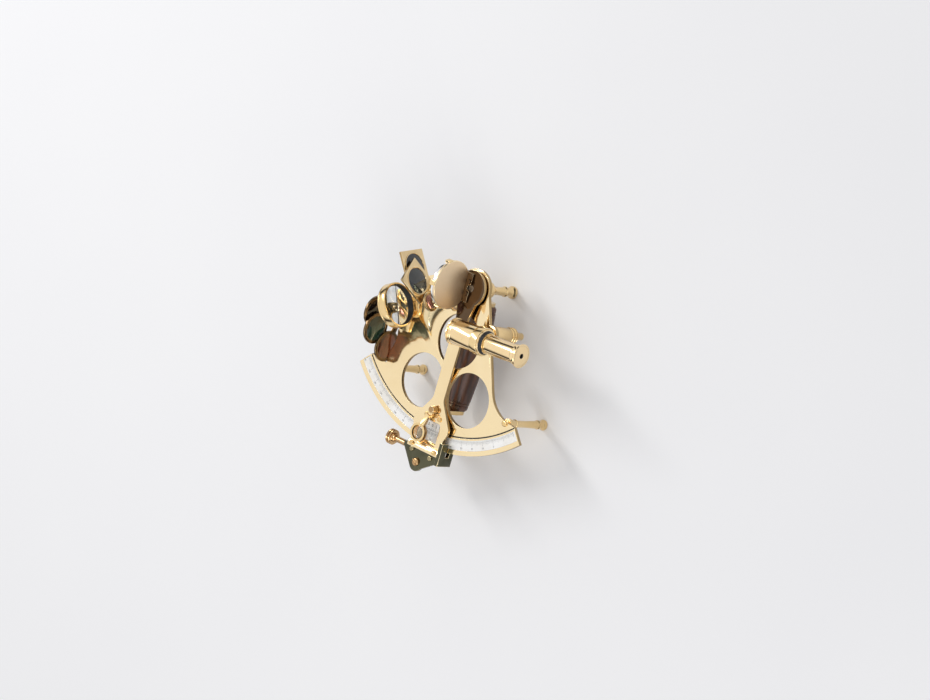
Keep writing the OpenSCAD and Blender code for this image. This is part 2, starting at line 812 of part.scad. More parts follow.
// The plate below the limb that carries the tangent screw in two bearings
module tangent_carrier() {
    lobe = [stop_screw[0], stop_screw[1] - 1];
    lobe_r = 8.5;
    left = bearing_x[0] - bearing_w;
    right = cheek_x;
    color(brass) difference() {
        union() {
            translate([0, 0, carrier_z]) linear_extrude(carrier_t) {
                polygon([
                    [left, carrier_top], [right, carrier_top], [right, carrier_top - 7],
                    [lobe[0] + 7.5, lobe[1] - 4], [lobe[0] - 7, lobe[1] - 4.8],
                    [left, carrier_top - 4]
                ]);
                translate(lobe) circle(r = lobe_r);
            }
            for (x = bearing_x) translate([x - bearing_w / 2, tangent_y, tangent_z]) {
                translate([0, -4.5, 0]) cube([bearing_w, 9, carrier_z - tangent_z + 1]);
                rotate([0, 90, 0]) cylinder(r = 4.5, h = bearing_w);
            }
        }
        for (x = bearing_x) translate([x, tangent_y, tangent_z])
            bar_x(tangent_r + run_fit, -bearing_w, bearing_w);
        for (p = carrier_screws) translate([p[0], p[1], arm_z])
            screw_hole(dome_screw_r, carrier_t + cut);
        translate([stop_screw[0], stop_screw[1], arm_z]) screw_hole(stop_screw_r, carrier_t + cut);
    }
}

module arm_end_screws() {
    color(brass) {
        for (p = end_screws) translate([p[0], p[1], arm_top])
            slotted_screw(2.6, 1.1, small_screw_r, arm_t + 1.6);
        for (p = bar_screws) translate([p[0], p[1], arm_top + bar_h])
            slotted_screw(2.6, 1.2, small_screw_r, bar_h + arm_t);
        for (p = carrier_screws) translate([p[0], p[1], arm_z])
            slotted_screw(3, 1.4, dome_screw_r, carrier_t);
        translate([stop_screw[0], stop_screw[1], arm_z])
            slotted_screw(4.4, 2.4, stop_screw_r, carrier_t + 1);
        for (p = base_screws) translate([p[0], p[1], mirror_base_z])
            slotted_screw(2.4, 1.4, small_screw_r, mirror_base_t + arm_t);
    }
}

module index_mirror_base() {
    x0 = mirror_back_x - 12;
    x1 = mirror_back_x + 6.5;
    color(brass) difference() {
        intersection() {
            translate([0, 0, arm_top]) cylinder(r = arm_head_r, h = mirror_base_t);
            translate([x0, -15, arm_top]) cube([x1 - x0, 30, mirror_base_t]);
        }
        translate([0, 0, arm_top - cut]) cylinder(r = axle_r - 1, h = mirror_base_t + 2 * cut);
        for (p = base_screws) translate([p[0], p[1], mirror_base_z])
            screw_hole(small_screw_r, mirror_base_t + cut);
    }
}

// A disc with its lower side cut off where it stands on the base
module mirror_disc(x0, t, r) {
    in_mirror() difference() {
        translate([x0, 0, mirror_z]) rotate([0, 90, 0]) cylinder(r = r, h = t);
        translate([x0 - cut, -2 * r, 0]) cube([t + 2 * cut, 4 * r, mirror_base_z]);
    }
}

module index_mirror_back() {
    color(brass) mirror_disc(mirror_back_x - mirror_back_t, mirror_back_t, index_mirror_r);
}

module index_mirror_glass() {
    color("lightsteelblue")
        mirror_disc(mirror_back_x - mirror_back_t - mirror_glass_t, mirror_glass_t,
                    index_mirror_r - 0.8);
}

// Three clips hold the glass against its back
module index_mirror_clips() {
    x0 = mirror_back_x - mirror_back_t - mirror_glass_t;
    clip_t = 0.9;
    color(brass) in_mirror() for (a = [-70, 0, 70]) translate([0, 0, mirror_z]) rotate([a, 0, 0]) {
        translate([x0 - clip_t, -2.5, index_mirror_r - 5]) cube([clip_t, 5, 5 + clip_t]);
        translate([x0, -2.5, index_mirror_r])
            cube([mirror_glass_t + mirror_back_t - 0.4, 5, clip_t]);
    }
}

// The clamp runs round the outer edge of the limb, with a lip in front and a jaw behind, and
// a tongue below that carries the swivelling nut of the tangent screw
module clamp_bridge() {
    tongue_w = 12;
    tongue_low = tangent_y - 5.5;
    tongue_top = -(limb_r - 0.5);
    color(brass) difference() {
        union() {
            translate([0, 0, jaw_low])
                ring_sector(groove_r, spine_out, clamp_half, clamp_half, jaw_t);
            translate([0, 0, jaw_low])
                ring_sector(spine_in, spine_out, clamp_half, clamp_half,
                            face_z + gap + lip_t - jaw_low);
            translate([0, 0, face_z + gap])
                ring_sector(lip_in, spine_out, clamp_half, clamp_half, lip_t);
            translate([-tongue_w / 2, tongue_low, jaw_low])
                cube([tongue_w, tongue_top - tongue_low, tongue_t]);
        }
        translate([0, clamp_y, jaw_low - cut])
            cylinder(r = clamp_screw_r + run_fit, h = jaw_t + 2 * cut);
        translate([0, tangent_y, jaw_low - cut])
            cylinder(r = swivel_r + run_fit, h = tongue_t + 2 * cut);
    }
}

module clamp_shoe() {
    color(brass) translate([0, clamp_y, back_z - shoe_gap - shoe_t])
        cylinder(r = shoe_r, h = shoe_t);
}

module clamp_screw() {
    knob_r = 8;
    knob_h = 7;
    knob_top = jaw_low - 5;
    tip_z = back_z - shoe_gap - shoe_t - gap;
    color(brass) translate([0, clamp_y, 0]) {
        translate([0, 0, knob_top - knob_h]) cylinder(r = knob_r, h = knob_h);
        translate([0, 0, knob_top - cut]) cylinder(r = clamp_screw_r + 2, h = 3 + cut);
        translate([0, 0, knob_top]) cylinder(r = clamp_screw_r, h = tip_z - knob_top);
    }
}

// The nut turns on its stud in the tongue, so it stays in line with the screw
module tangent_nut() {
    base_z = jaw_low + tongue_t + gap;
    bore_fit = 0.08;
    color(brass) translate([0, tangent_y, 0]) difference() {
        union() {
            translate([0, 0, base_z])
                cylinder(r = tangent_post_r, h = carrier_z - 2 * gap - base_z);
            translate([0, 0, jaw_low]) cylinder(r = swivel_r, h = base_z - jaw_low + cut);
        }
        translate([0, 0, tangent_z]) bar_x(tangent_r + bore_fit, -10, 10);
    }
}

module tangent_screw() {
    left = bearing_x[0] - bearing_w / 2;
    color(brass) translate([0, tangent_y, tangent_z]) {
        bar_x(tangent_r, -50, bearing_x[1] + bearing_w / 2 + 1.5);
        bar_x(3.3, -47, left - 0.3);
        bar_x(3.3, left + bearing_w + 0.3, left + bearing_w + 1.8);
    }
}

module tangent_knob() {
    color(brass) translate([0, tangent_y, tangent_z]) difference() {
        union() {
            bar_x(8, -56, -50.5);
            bar_x(5, -50.6, -47);
        }
        bar_x(tangent_r, -50, -40);
        bar_x(6.4, -57, -55.2);
    }
}

module magnifier_pivot() {
    cap_z = arm_top + washer_t + magnifier_lug_t + 2 * gap;
    color(brass) translate([magnifier_at[0], magnifier_at[1], 0]) {
        translate([0, 0, arm_z + 0.4]) cylinder(r = magnifier_pin_r, h = cap_z + 0.4 - arm_z);
        translate([0, 0, arm_top]) cylinder(r = magnifier_pin_r + 1.7, h = washer_t);
        translate([0, 0, cap_z]) cylinder(r = magnifier_pin_r + 1.9, h = 1.6);
    }
}

// The magnifier's arm: a lug on the pivot, a step up and a ring for the lens
module magnifier_arm() {
    lug_r = 4;
    arm_half = 2.5;
    step_x = 6;
    step_t = 3;
    z0 = arm_top + washer_t + gap;
    reach = norm(lens_at - magnifier_at);
    turn = atan2(lens_at[1] - magnifier_at[1], lens_at[0] - magnifier_at[0]);
    rise = face_z + lens_h - z0;
    color(brass) difference() {
        union() {
            translate([magnifier_at[0], magnifier_at[1], z0]) {
                cylinder(r = lug_r, h = magnifier_lug_t);
                rotate([0, 0, turn]) {
                    translate([0, -arm_half, 0])
                        cube([step_x + step_t, 2 * arm_half, magnifier_lug_t]);
                    translate([step_x, -arm_half, 0])
                        cube([step_t, 2 * arm_half, rise + step_t / 2]);
                    translate([step_x, -arm_half, rise - step_t / 2])
                        cube([reach - step_x - lens_r, 2 * arm_half, step_t]);
                }
            }
            translate([lens_at[0], lens_at[1], face_z + lens_h - 2])
                cylinder(r = lens_r + 2.2, h = 4);
        }
        translate([magnifier_at[0], magnifier_at[1], z0 - cut])
            cylinder(r = magnifier_pin_r + run_fit, h = magnifier_lug_t + 2 * cut, $fn = 24);
        translate([magnifier_at[0], magnifier_at[1], z0 + magnifier_lug_t])
            cylinder(r = lug_r + 0.2, h = 10);
        translate([lens_at[0], lens_at[1], face_z + lens_h - 2 * lens_t])
            cylinder(r = lens_r, h = 4 * lens_t);
    }
}

module magnifier_lens() {
    color("azure") translate([lens_at[0], lens_at[1], face_z + lens_h - lens_t / 2])
        cylinder(r = lens_r, h = lens_t);
}

module telescope_socket() {
    color(brass) translate([stem_at[0], stem_at[1], 0]) difference() {
        translate([0, 0, back_z - socket_h]) cylinder(r = socket_r, h = socket_h);
        translate([0, 0, back_z - socket_h - cut])
            cylinder(r = stem_r + run_fit, h = socket_h + 2 * cut);
    }
}

// The rising stem, its bracket and the collar that holds the telescope
module rising_stem() {
    collar_at = tele_mid + collar_x * [cos(tele_turn), sin(tele_turn)];
    bracket_z = face_z + stem_top_h;
    bar_t = 4;
    arm_half = 4.5;
    color(brass) difference() {
        union() {
            translate([stem_at[0], stem_at[1], back_z - stem_below])
                cylinder(r = stem_r, h = stem_below + frame_t + stem_top_h);
            translate([stem_at[0], stem_at[1], bracket_z]) cylinder(r = 6, h = bar_t);
            translate([stem_at[0], stem_at[1] - arm_half - 1, bracket_z])
                cube([collar_at[0] + collar_w - 1 - stem_at[0], 2 * arm_half, bar_t]);
            in_telescope() {
                translate([collar_x, -arm_half, stem_top_h - tele_h])
                    cube([collar_w, 2 * arm_half, tele_h - stem_top_h - tube_r]);
                bar_x(collar_r, collar_x, collar_x + collar_w);
            }
        }
        in_telescope() bar_x(tube_r, collar_x - cut, collar_x + collar_w + cut);
    }
}

module rising_nut() {
    z0 = back_z - socket_h - 0.3 - rising_nut_h;
    color(brass) translate([stem_at[0], stem_at[1], z0]) difference() {
        cylinder(r = rising_nut_r, h = rising_nut_h);
        translate([0, 0, -cut]) cylinder(r = stem_r + run_fit, h = rising_nut_h + 2 * cut);
    }
}

// The body: a front ring, the tube, and a shoulder that guides the draw tube
module telescope_tube() {
    front = tube_back - tube_len;
    ring_len = 4;
    ring_rise = 0.5;
    cell = 1.2;
    color(brass) in_telescope() difference() {
        union() {
            bar_x(tube_r, front + ring_len, tube_back);
            bar_x(tube_r + ring_rise, front, front + ring_len / 2);
            bar_x(tube_r - ring_rise, front + ring_len / 2 - 0.1, front + ring_len + 0.1);
            translate([tube_back - 0.01, 0, 0]) rotate([0, 90, 0])
                cylinder(r1 = tube_r, r2 = draw_r + 1.2, h = shoulder_len);
        }
        bar_x(tube_bore_r, front + cell, -2);
        bar_x(tube_r - 2 * tube_wall, front - cut, front + 2 * cell);
        bar_x(draw_r + run_fit, -3, draw_x + cut);
    }
}

module objective_lens() {
    front = tube_back - tube_len;
    color("azure") in_telescope() bar_x(tube_bore_r, front + 1.2, front + 4);
}

module draw_tube() {
    inside = 28;
    wall = 1;
    color(brass) in_telescope() difference() {
        bar_x(draw_r, draw_x - inside, draw_end_x);
        bar_x(draw_r - wall, draw_x - inside - cut, draw_end_x + cut);
    }
}

module eyepiece_cap() {
    plug_len = 5;
    eye_hole_r = 1.9;
    lens_seat_r = draw_r - 2.4;
    color(brass) in_telescope() difference() {
        union() {
            bar_x(cap_r, draw_end_x, draw_end_x + cap_t);
            bar_x(draw_r - 1, draw_end_x - plug_len, draw_end_x + 0.1);
        }
        bar_x(eye_hole_r, draw_end_x - plug_len - cut, draw_end_x + cap_t + cut);
        bar_x(lens_seat_r, draw_end_x - plug_len - cut, draw_end_x - 1);
    }
}

module eye_lens() {
    color("azure") in_telescope() bar_x(draw_r - 2.4, draw_end_x - 4, draw_end_x - 1.5);
}

frame();
arc_scale();
pivot_bush();
apex_leg();
side_legs();
frame_screws();
handle_grip();
handle_bracket_upper();
handle_bracket_lower();
horizon_bracket();
horizon_ring();
horizon_silvered_glass();
horizon_clear_glass();
horizon_adjusting_screws();
horizon_shade_post();
horizon_shade_pin();
horizon_shade_ring_1();
horizon_shade_ring_2();
horizon_shade_ring_3();
horizon_shade_glass_1();
horizon_shade_glass_2();
horizon_shade_glass_3();
index_shade_post();
index_shade_pin();
index_shade_plate_1();
index_shade_plate_2();
index_shade_plate_3();
index_shade_glass_1();
index_shade_glass_2();
index_shade_glass_3();
index_arm();
pivot_axle();
axle_nut();
vernier_plate();
bevel_bar();
arm_cheek();
tangent_carrier();
arm_end_screws();
index_mirror_base();
index_mirror_back();
index_mirror_glass();
index_mirror_clips();
clamp_bridge();
clamp_shoe();
clamp_screw();
tangent_nut();
tangent_screw();
tangent_knob();
magnifier_pivot();
magnifier_arm();
magnifier_lens();
telescope_socket();
rising_stem();
rising_nut();
telescope_tube();
objective_lens();
draw_tube();
eyepiece_cap();
eye_lens();
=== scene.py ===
"""The sextant's looks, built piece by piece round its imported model."""

import json
import logging
import math
from contextlib import contextmanager
from dataclasses import dataclass, field
from enum import Enum
from functools import lru_cache
from typing import Any, Callable, Iterator, Optional, Sequence, Union

import bmesh
import bpy
from mathutils import Euler, Matrix, Vector


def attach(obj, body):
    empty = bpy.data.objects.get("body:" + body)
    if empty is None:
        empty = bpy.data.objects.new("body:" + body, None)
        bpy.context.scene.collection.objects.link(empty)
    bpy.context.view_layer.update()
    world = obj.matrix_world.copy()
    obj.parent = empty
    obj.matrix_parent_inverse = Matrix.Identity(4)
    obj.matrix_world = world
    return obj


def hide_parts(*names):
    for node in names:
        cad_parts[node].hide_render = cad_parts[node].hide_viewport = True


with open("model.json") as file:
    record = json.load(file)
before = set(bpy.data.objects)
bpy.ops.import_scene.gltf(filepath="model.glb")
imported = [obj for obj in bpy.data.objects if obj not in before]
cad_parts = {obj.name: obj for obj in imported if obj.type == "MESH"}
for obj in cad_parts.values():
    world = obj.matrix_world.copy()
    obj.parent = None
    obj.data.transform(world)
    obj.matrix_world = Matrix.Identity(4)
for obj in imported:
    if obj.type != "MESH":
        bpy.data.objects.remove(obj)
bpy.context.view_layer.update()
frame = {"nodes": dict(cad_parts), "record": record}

log = logging.getLogger("sextant")

MM = 0.001
Colour = tuple[float, float, float]
Point = tuple[float, float, float]
Node = bpy.types.Object
Row = tuple[float, ...]

# Heights and places that many pieces share, in millimetres, as the model has them
FACE_Z = 62.0
SCALE_IN = 152.5
SCALE_OUT = 163.0
ARM_Z = 64.6
ARM_TOP = 67.8
TANGENT_Y = -176.8
TANGENT_Z = 57.0
MIRROR_Z = 90.0
GRIP_X = -8.0
GRIP_Z = 26.0
INK_PROUD = 0.03
INK_DEPTH = 0.08

# Angles that part smooth from sharp, and distances that count as none, in metres
SMOOTH_ANGLE = math.radians(38)
EDGE_ANGLE = math.radians(32)
FLAT_ANGLE = math.radians(0.6)
NODE_MERGE = 2e-6
TURNED_MERGE = 1e-7
SPUN_MERGE = 1e-8
SAME_RATIO = 1e-6

# The least share of a direction that a normal has when it counts as looking that way
SIDEWAYS = 0.5

# Material slots; slot 0 is the one that faces have at first
EDGE_SLOT = 1
LINING_SLOT = 1
SIDE_SLOT = 2
EXTRA_SLOT = 3


def heading(degrees: float) -> tuple[float, float]:
    """The cosine and the sine of an angle."""
    return math.cos(math.radians(degrees)), math.sin(math.radians(degrees))


def band(radius: float, start: float, end: float, depth: float, lead: float = 0.2
         ) -> tuple[Row, ...]:
    """Four rows of a turned profile that make a knurled band with plain rims.

    Args:
        radius: its radius.
        start: where it starts along the axis.
        end: where it ends.
        depth: how deep the knurling is cut.
        lead: the width of a plain rim.

    Returns:
        The rows.
    """
    step = math.copysign(lead, end - start)
    cut = (start + step, end - step)
    return (radius, start), (radius, cut[0], depth), (radius, cut[1], depth), (radius, end)


def darker(tone: Colour, share: float) -> Colour:
    """A share of a colour."""
    return tuple(share * part for part in tone)


# Shader maths


class Signal:
    """A shader socket that takes part in sums as a number would."""

    def __init__(self, graph: "Graph", socket: bpy.types.NodeSocket) -> None:
        """Wraps a socket of the graph.

        Args:
            graph: the graph that the socket is in.
            socket: the output socket.
        """
        self.graph = graph
        self.socket = socket

    def _with(self, operation: str, first: Any, second: Any) -> "Signal":
        """Adds one Math node on two values or signals."""
        return self.graph.add("ShaderNodeMath", {0: first, 1: second}, operation=operation)

    def __add__(self, other: Any) -> "Signal":
        """Sum."""
        return self._with("ADD", self, other)

    def __sub__(self, other: Any) -> "Signal":
        """Difference."""
        return self._with("SUBTRACT", self, other)

    def __rsub__(self, other: Any) -> "Signal":
        """Difference, from the right."""
        return self._with("SUBTRACT", other, self)

    def __mul__(self, other: Any) -> "Signal":
        """Product."""
        return self._with("MULTIPLY", self, other)


class Graph:
    """The node tree of one material or of the world."""

    def __init__(self, owner: Union[bpy.types.Material, bpy.types.World]) -> None:
        """Empties the owner's node tree.

        Args:
            owner: the material or world whose nodes are built.
        """
        owner.use_nodes = True
        self.tree = owner.node_tree
        self.tree.nodes.clear()

    def add(self, kind: str, sockets: Optional[dict[Union[int, str], Any]] = None,
            output: Union[int, str] = 0, **settings: Any) -> Signal:
        """Adds a node of any type.

        Args:
            kind: the node's type.
            sockets: values or signals for its inputs.
            output: the output that the signal stands for.
            settings: the node's own settings.

        Returns:
            The signal of the chosen output.
        """
        node = self.tree.nodes.new(kind)
        for key, value in settings.items():
            setattr(node, key, value)
        for key, value in (sockets or {}).items():
            target = node.inputs[key]
            if isinstance(value, Signal):
                self.tree.links.new(value.socket, target)
            else:
                target.default_value = (*value, 1.0) if target.type == "RGBA" else value
        return Signal(self, node.outputs[output])

    def place(self) -> Signal:
        """The point on the piece, in its own coordinates."""
        return self.add("ShaderNodeTexCoord", output="Object")

    def stretch(self, vector: Signal, scale: Point, turn: Point = (0, 0, 0)) -> Signal:
        """Turns and stretches coordinates."""
        return self.add("ShaderNodeMapping", {"Vector": vector, "Scale": scale, "Rotation": turn})

    def noise(self, vector: Signal, scale: float, detail: float = 3.0,
              rough: float = 0.55) -> Signal:
        """Cloudy noise between 0 and 1."""
        return self.add("ShaderNodeTexNoise", {"Vector": vector, "Scale": scale, "Detail": detail,
                                               "Roughness": rough})

    def along(self, vector: Signal, axis: Point) -> Signal:
        """How far the point lies along an axis."""
        return self.add("ShaderNodeVectorMath", {0: vector, 1: axis}, "Value",
                        operation="DOT_PRODUCT")

    def limits(self, value: Signal, low: float, high: float,
               to: tuple[float, float] = (0, 1)) -> Signal:
        """Maps the span from low to high onto another span, smoothly."""
        return self.add("ShaderNodeMapRange", {"Value": value, "From Min": low, "From Max": high,
                                               "To Min": to[0], "To Max": to[1]},
                        interpolation_type="SMOOTHSTEP")

    def blend(self, amount: Signal, first: Any, second: Any) -> Signal:
        """Mixes two colours."""
        return self.add("ShaderNodeMix", {"Factor": amount, 6: first, 7: second}, 2,
                        data_type="RGBA")

    def bump(self, height: Signal, distance: float) -> Signal:
        """A bumped normal at full strength; the distance is in millimetres."""
        return self.add("ShaderNodeBump", {"Height": height, "Distance": distance * MM,
                                           "Strength": 1.0})

    def surface(self, **inputs: Any) -> None:
        """Ends the graph in a Principled shader; a name's underscores stand for spaces."""
        shader = self.add("ShaderNodeBsdfPrincipled",
                          {name.replace("_", " "): value for name, value in inputs.items()})
        self.finish("ShaderNodeOutputMaterial", shader)

    def finish(self, kind: str, shader: Signal) -> None:
        """Links a shader to the output node of this kind."""
        self.tree.links.new(shader.socket, self.tree.nodes.new(kind).inputs["Surface"])


# Finishes


class Grain(Enum):
    """How a metal surface was worked last."""

    BUFFED = "buffed"
    BRUSHED = "brushed"
    TURNED = "turned"


@dataclass(frozen=True)
class Brass:
    """Lacquered brass with uneven tone, light tarnish and the marks of its working."""

    name: str
    tone: Colour
    shade: Colour
    roughness: float = 0.14
    grain: Grain = Grain.BUFFED
    axis: Point = (1.0, 0.0, 0.0)
    patina: float = 0.35
    relief: float = 0.004
    cloud_scale: float = 22.0
    speck_scale: float = 260.0
    turned_scale: float = 2600.0
    brushed_scales: tuple[float, float] = (45.0, 2200.0)
    buffed_scale: float = 900.0
    worn_from: tuple[float, float] = (0.38, 0.68)
    specks_from: tuple[float, float] = (0.60, 0.74)
    uneven: Point = (0.06, 0.05, 0.05)

    def marks(self, graph: Graph, place: Signal) -> Signal:
        """The pattern of the last working, between 0 and 1.

        Args:
            graph: the material's graph.
            place: the coordinates.

        Returns:
            The pattern's signal.
        """
        if self.grain is Grain.TURNED:
            reach = graph.along(place, self.axis) * self.turned_scale
            return graph.add("ShaderNodeTexNoise", {"W": reach, "Scale": 1.0, "Detail": 2.0},
                             noise_dimensions="1D")
        if self.grain is Grain.BRUSHED:
            along, across = self.brushed_scales
            scale = tuple(along if abs(part) > SIDEWAYS else across for part in self.axis)
            return graph.noise(graph.stretch(place, scale), 1.0, 2.0)
        return graph.noise(place, self.buffed_scale, 2.0)

    def build(self, graph: Graph) -> None:
        """Builds the nodes.

        Args:
            graph: the material's graph.
        """
        place = graph.place()
        broad = graph.noise(place, self.cloud_scale, 3.0)
        fine = graph.noise(place, self.speck_scale, 5.0, 0.65)
        marks = self.marks(graph, place)
        worn = graph.limits(broad, *self.worn_from) * self.patina
        specks = graph.limits(fine, *self.specks_from) * (self.patina * 0.5)
        tone = graph.blend(worn, self.tone, self.shade)
        tone = graph.blend(specks, tone, darker(self.shade, 0.55))
        tone = graph.blend(marks * 0.10, tone, darker(self.tone, 0.8))
        by_broad, by_fine, by_marks = self.uneven
        rough = broad * by_broad + fine * by_fine + marks * by_marks + (self.roughness - 0.07)
        normal = graph.bump(marks + fine * 0.4, self.relief)
        graph.surface(Base_Color=tone, Metallic=1.0, Roughness=rough, Normal=normal,
                      Coat_Weight=0.25, Coat_Roughness=0.08)


@dataclass(frozen=True)
class Silvered:
    """Matt silvered metal of the scales, with a fine grain and faint yellowing."""

    name: str
    tone: Colour = (0.90, 0.89, 0.86)
    metal: float = 0.55
    roughness: float = 0.34
    yellowed: Colour = (0.66, 0.60, 0.47)
    grained: Colour = (0.45, 0.45, 0.44)
    relief: float = 0.004

    def build(self, graph: Graph) -> None:
        """Builds the nodes.

        Args:
            graph: the material's graph.
        """
        place = graph.place()
        broad = graph.noise(place, 40.0, 4.0)
        grain = graph.noise(place, 1500.0, 2.0)
        aged = graph.limits(broad, 0.42, 0.72) * 0.35
        tone = graph.blend(aged, self.tone, self.yellowed)
        tone = graph.blend(grain * 0.12, tone, self.grained)
        graph.surface(Base_Color=tone, Metallic=self.metal, Normal=graph.bump(grain, self.relief),
                      Roughness=grain * 0.08 + self.roughness)


@dataclass(frozen=True)
class Wood:
    """Oiled dark hardwood whose grain runs along the grip."""

    name: str
    light: Colour = (0.115, 0.040, 0.018)
    dark: Colour = (0.030, 0.010, 0.006)
    fibre: Colour = (0.060, 0.020, 0.010)
    pore: Colour = (0.010, 0.004, 0.003)
    relief: float = 0.05

    def build(self, graph: Graph) -> None:
        """Builds the nodes.

        Args:
            graph: the material's graph.
        """
        place = graph.place()
        long = graph.stretch(place, (1.0, 0.10, 1.0), (0.0, 0.0, 0.06))
        bands = graph.add("ShaderNodeTexWave", {"Vector": long, "Scale": 55.0, "Distortion": 7.0,
                                                "Detail": 4.0, "Detail Scale": 1.6}, "Fac",
                          bands_direction="X")
        fibre = graph.noise(graph.stretch(place, (1.0, 0.05, 1.0)), 900.0, 4.0, 0.7)
        pore = graph.limits(graph.noise(graph.stretch(place, (1.0, 0.07, 1.0)), 1700.0, 2.0),
                            0.62, 0.72)
        tone = graph.blend(bands, self.dark, self.light)
        tone = graph.blend(fibre * 0.5, tone, self.fibre)
        tone = graph.blend(pore * 0.8, tone, self.pore)
        graph.surface(Base_Color=tone, Roughness=fibre * 0.15 + 0.30, Coat_Weight=0.35,
                      Coat_Roughness=0.15, Normal=graph.bump(fibre - pore, self.relief))


@dataclass(frozen=True)
class Steel:
    """Ground steel with turning marks."""

    name: str
    tone: Colour = (0.20, 0.18, 0.16)
    dulled: Colour = (0.11, 0.09, 0.07)
    relief: float = 0.004

    def build(self, graph: Graph) -> None:
        """Builds the nodes.

        Args:
            graph: the material's graph.
        """
        place = graph.place()
        broad = graph.noise(place, 90.0, 3.0)
        rings = graph.noise(graph.stretch(place, (1.0, 1.0, 60.0)), 60.0, 2.0)
        tone = graph.blend(graph.limits(broad, 0.4, 0.7), self.tone, self.dulled)
        graph.surface(Base_Color=tone, Metallic=1.0, Roughness=rings * 0.15 + 0.22,
                      Normal=graph.bump(rings, self.relief))


@dataclass(frozen=True)
class Ink:
    """Black wax that fills engraved lines and figures."""

    name: str
    tone: Colour = (0.018, 0.017, 0.016)
    rubbed: Colour = (0.09, 0.085, 0.08)

    def build(self, graph: Graph) -> None:
        """Builds the nodes.

        Args:
            graph: the material's graph.
        """
        worn = graph.noise(graph.place(), 700.0, 3.0)
        tone = graph.blend(graph.limits(worn, 0.5, 0.8), self.tone, self.rubbed)
        graph.surface(Base_Color=tone, Roughness=worn * 0.2 + 0.4)


@dataclass(frozen=True)
class Looking:
    """Silvered looking-glass with faint smears."""

    name: str
    tone: Colour = (0.86, 0.87, 0.88)
    smeared: Colour = (0.62, 0.60, 0.56)

    def build(self, graph: Graph) -> None:
        """Builds the nodes.

        Args:
            graph: the material's graph.
        """
        smear = graph.noise(graph.stretch(graph.place(), (1.0, 3.0, 1.0)), 60.0, 5.0, 0.6)
        tone = graph.blend(graph.limits(smear, 0.5, 0.8) * 0.3, self.tone, self.smeared)
        graph.surface(Base_Color=tone, Metallic=1.0,
                      Roughness=graph.limits(smear, 0.45, 0.8, (0.015, 0.07)))


@dataclass(frozen=True)
class Glass:
    """Clear or tinted glass, with dust that dulls it in places."""

    name: str
    tint: Colour
    index: float = 1.5
    clear: float = 1.0

    def build(self, graph: Graph) -> None:
        """Builds the nodes.

        Args:
            graph: the material's graph.
        """
        place = graph.place()
        haze = graph.noise(place, 120.0, 4.0, 0.6)
        tone = graph.blend(graph.limits(haze, 0.4, 0.7), self.tint, darker(self.tint, 0.72))
        graph.surface(Base_Color=tone, Roughness=graph.limits(haze, 0.5, 0.85, (0.0, 0.06)),
                      IOR=self.index, Transmission_Weight=self.clear, Coat_Weight=0.4,
                      Coat_Roughness=0.02)


Finish = Union[Brass, Silvered, Wood, Steel, Ink, Looking, Glass]

GOLD = (0.88, 0.66, 0.34)
GOLD_SHADE = (0.62, 0.40, 0.15)
TELESCOPE_AXIS = (*heading(2.5), 0.0)

PLATE = Brass("brass_frame", (0.92, 0.74, 0.44), (0.78, 0.57, 0.28), 0.11, Grain.BRUSHED,
              (1.0, 0.0, 0.0), 0.28, 0.0015)
ARM = Brass("brass_arm", (0.92, 0.74, 0.44), (0.80, 0.58, 0.29), 0.12, Grain.BRUSHED,
            (0.0, 1.0, 0.0), 0.26, 0.0015)
POLISH = Brass("brass_polished", GOLD, GOLD_SHADE, 0.13)
# A brighter brass on rounded edges: partly rubbed wear, partly a painted highlight
EDGE = Brass("brass_edge", (0.96, 0.80, 0.50), GOLD, 0.12, patina=0.15)
SCREW = Brass("brass_screw", (0.84, 0.60, 0.28), (0.45, 0.28, 0.10), 0.17, patina=0.5)
UPRIGHT = Brass("brass_turned_upright", GOLD, GOLD_SHADE, 0.14, Grain.TURNED, (0.0, 0.0, 1.0))
CROSSWAYS = Brass("brass_turned_across", (0.60, 0.39, 0.19), (0.32, 0.19, 0.08), 0.16,
                  Grain.TURNED, (1.0, 0.0, 0.0), 0.45)
TUBE = Brass("brass_tube", (0.92, 0.70, 0.39), (0.74, 0.50, 0.22), 0.10, Grain.TURNED,
             TELESCOPE_AXIS, 0.25, 0.0012)
SHADE = Brass("brass_shade_plate", (0.84, 0.64, 0.36), (0.45, 0.31, 0.14), 0.19, Grain.BRUSHED,
              (0.0, 0.0, 1.0), 0.45)
# The horizon shade rings are painted near black for the dark surroundings they mirror, a painted
# reflection; their brighter rims are a painted highlight
RING_PAINTED_DARK_REFLECTION = Brass("brass_shade_ring_painted_dark_reflection", (0.17, 0.105, 0.05), (0.06, 0.035, 0.018), 0.16, patina=0.6)
RING_EDGE = Brass("brass_ring_edge", (0.55, 0.38, 0.17), (0.25, 0.16, 0.07), 0.15)
DISC = Brass("brass_mirror_back", (0.88, 0.69, 0.46), (0.78, 0.58, 0.36), 0.44, patina=0.3)
# Dark olive for the cheek, the lower plate and its domed screws, standing in for the dark
# surroundings that they mirror: a painted reflection
PAINTED_OLIVE_REFLECTION = Brass("brass_painted_olive_reflection", (0.105, 0.10, 0.055), (0.04, 0.043, 0.024), 0.10, patina=0.8)
PAINTED_OLIVE_REFLECTION_SCREW = Brass("brass_painted_olive_reflection_screw", (0.36, 0.30, 0.16), (0.14, 0.12, 0.06), 0.13, patina=0.7)
BROWN = Brass("brass_brown", (0.50, 0.31, 0.14), (0.26, 0.15, 0.06), 0.15, patina=0.6)
# Dark brown standing in for the dark surroundings that the arm's head and neck, the mirror base
# and its screws mirror: a painted reflection
PAINTED_DARK_REFLECTION = Brass("brass_painted_dark_reflection", (0.11, 0.065, 0.032), (0.035, 0.02, 0.01), 0.11, patina=0.7)
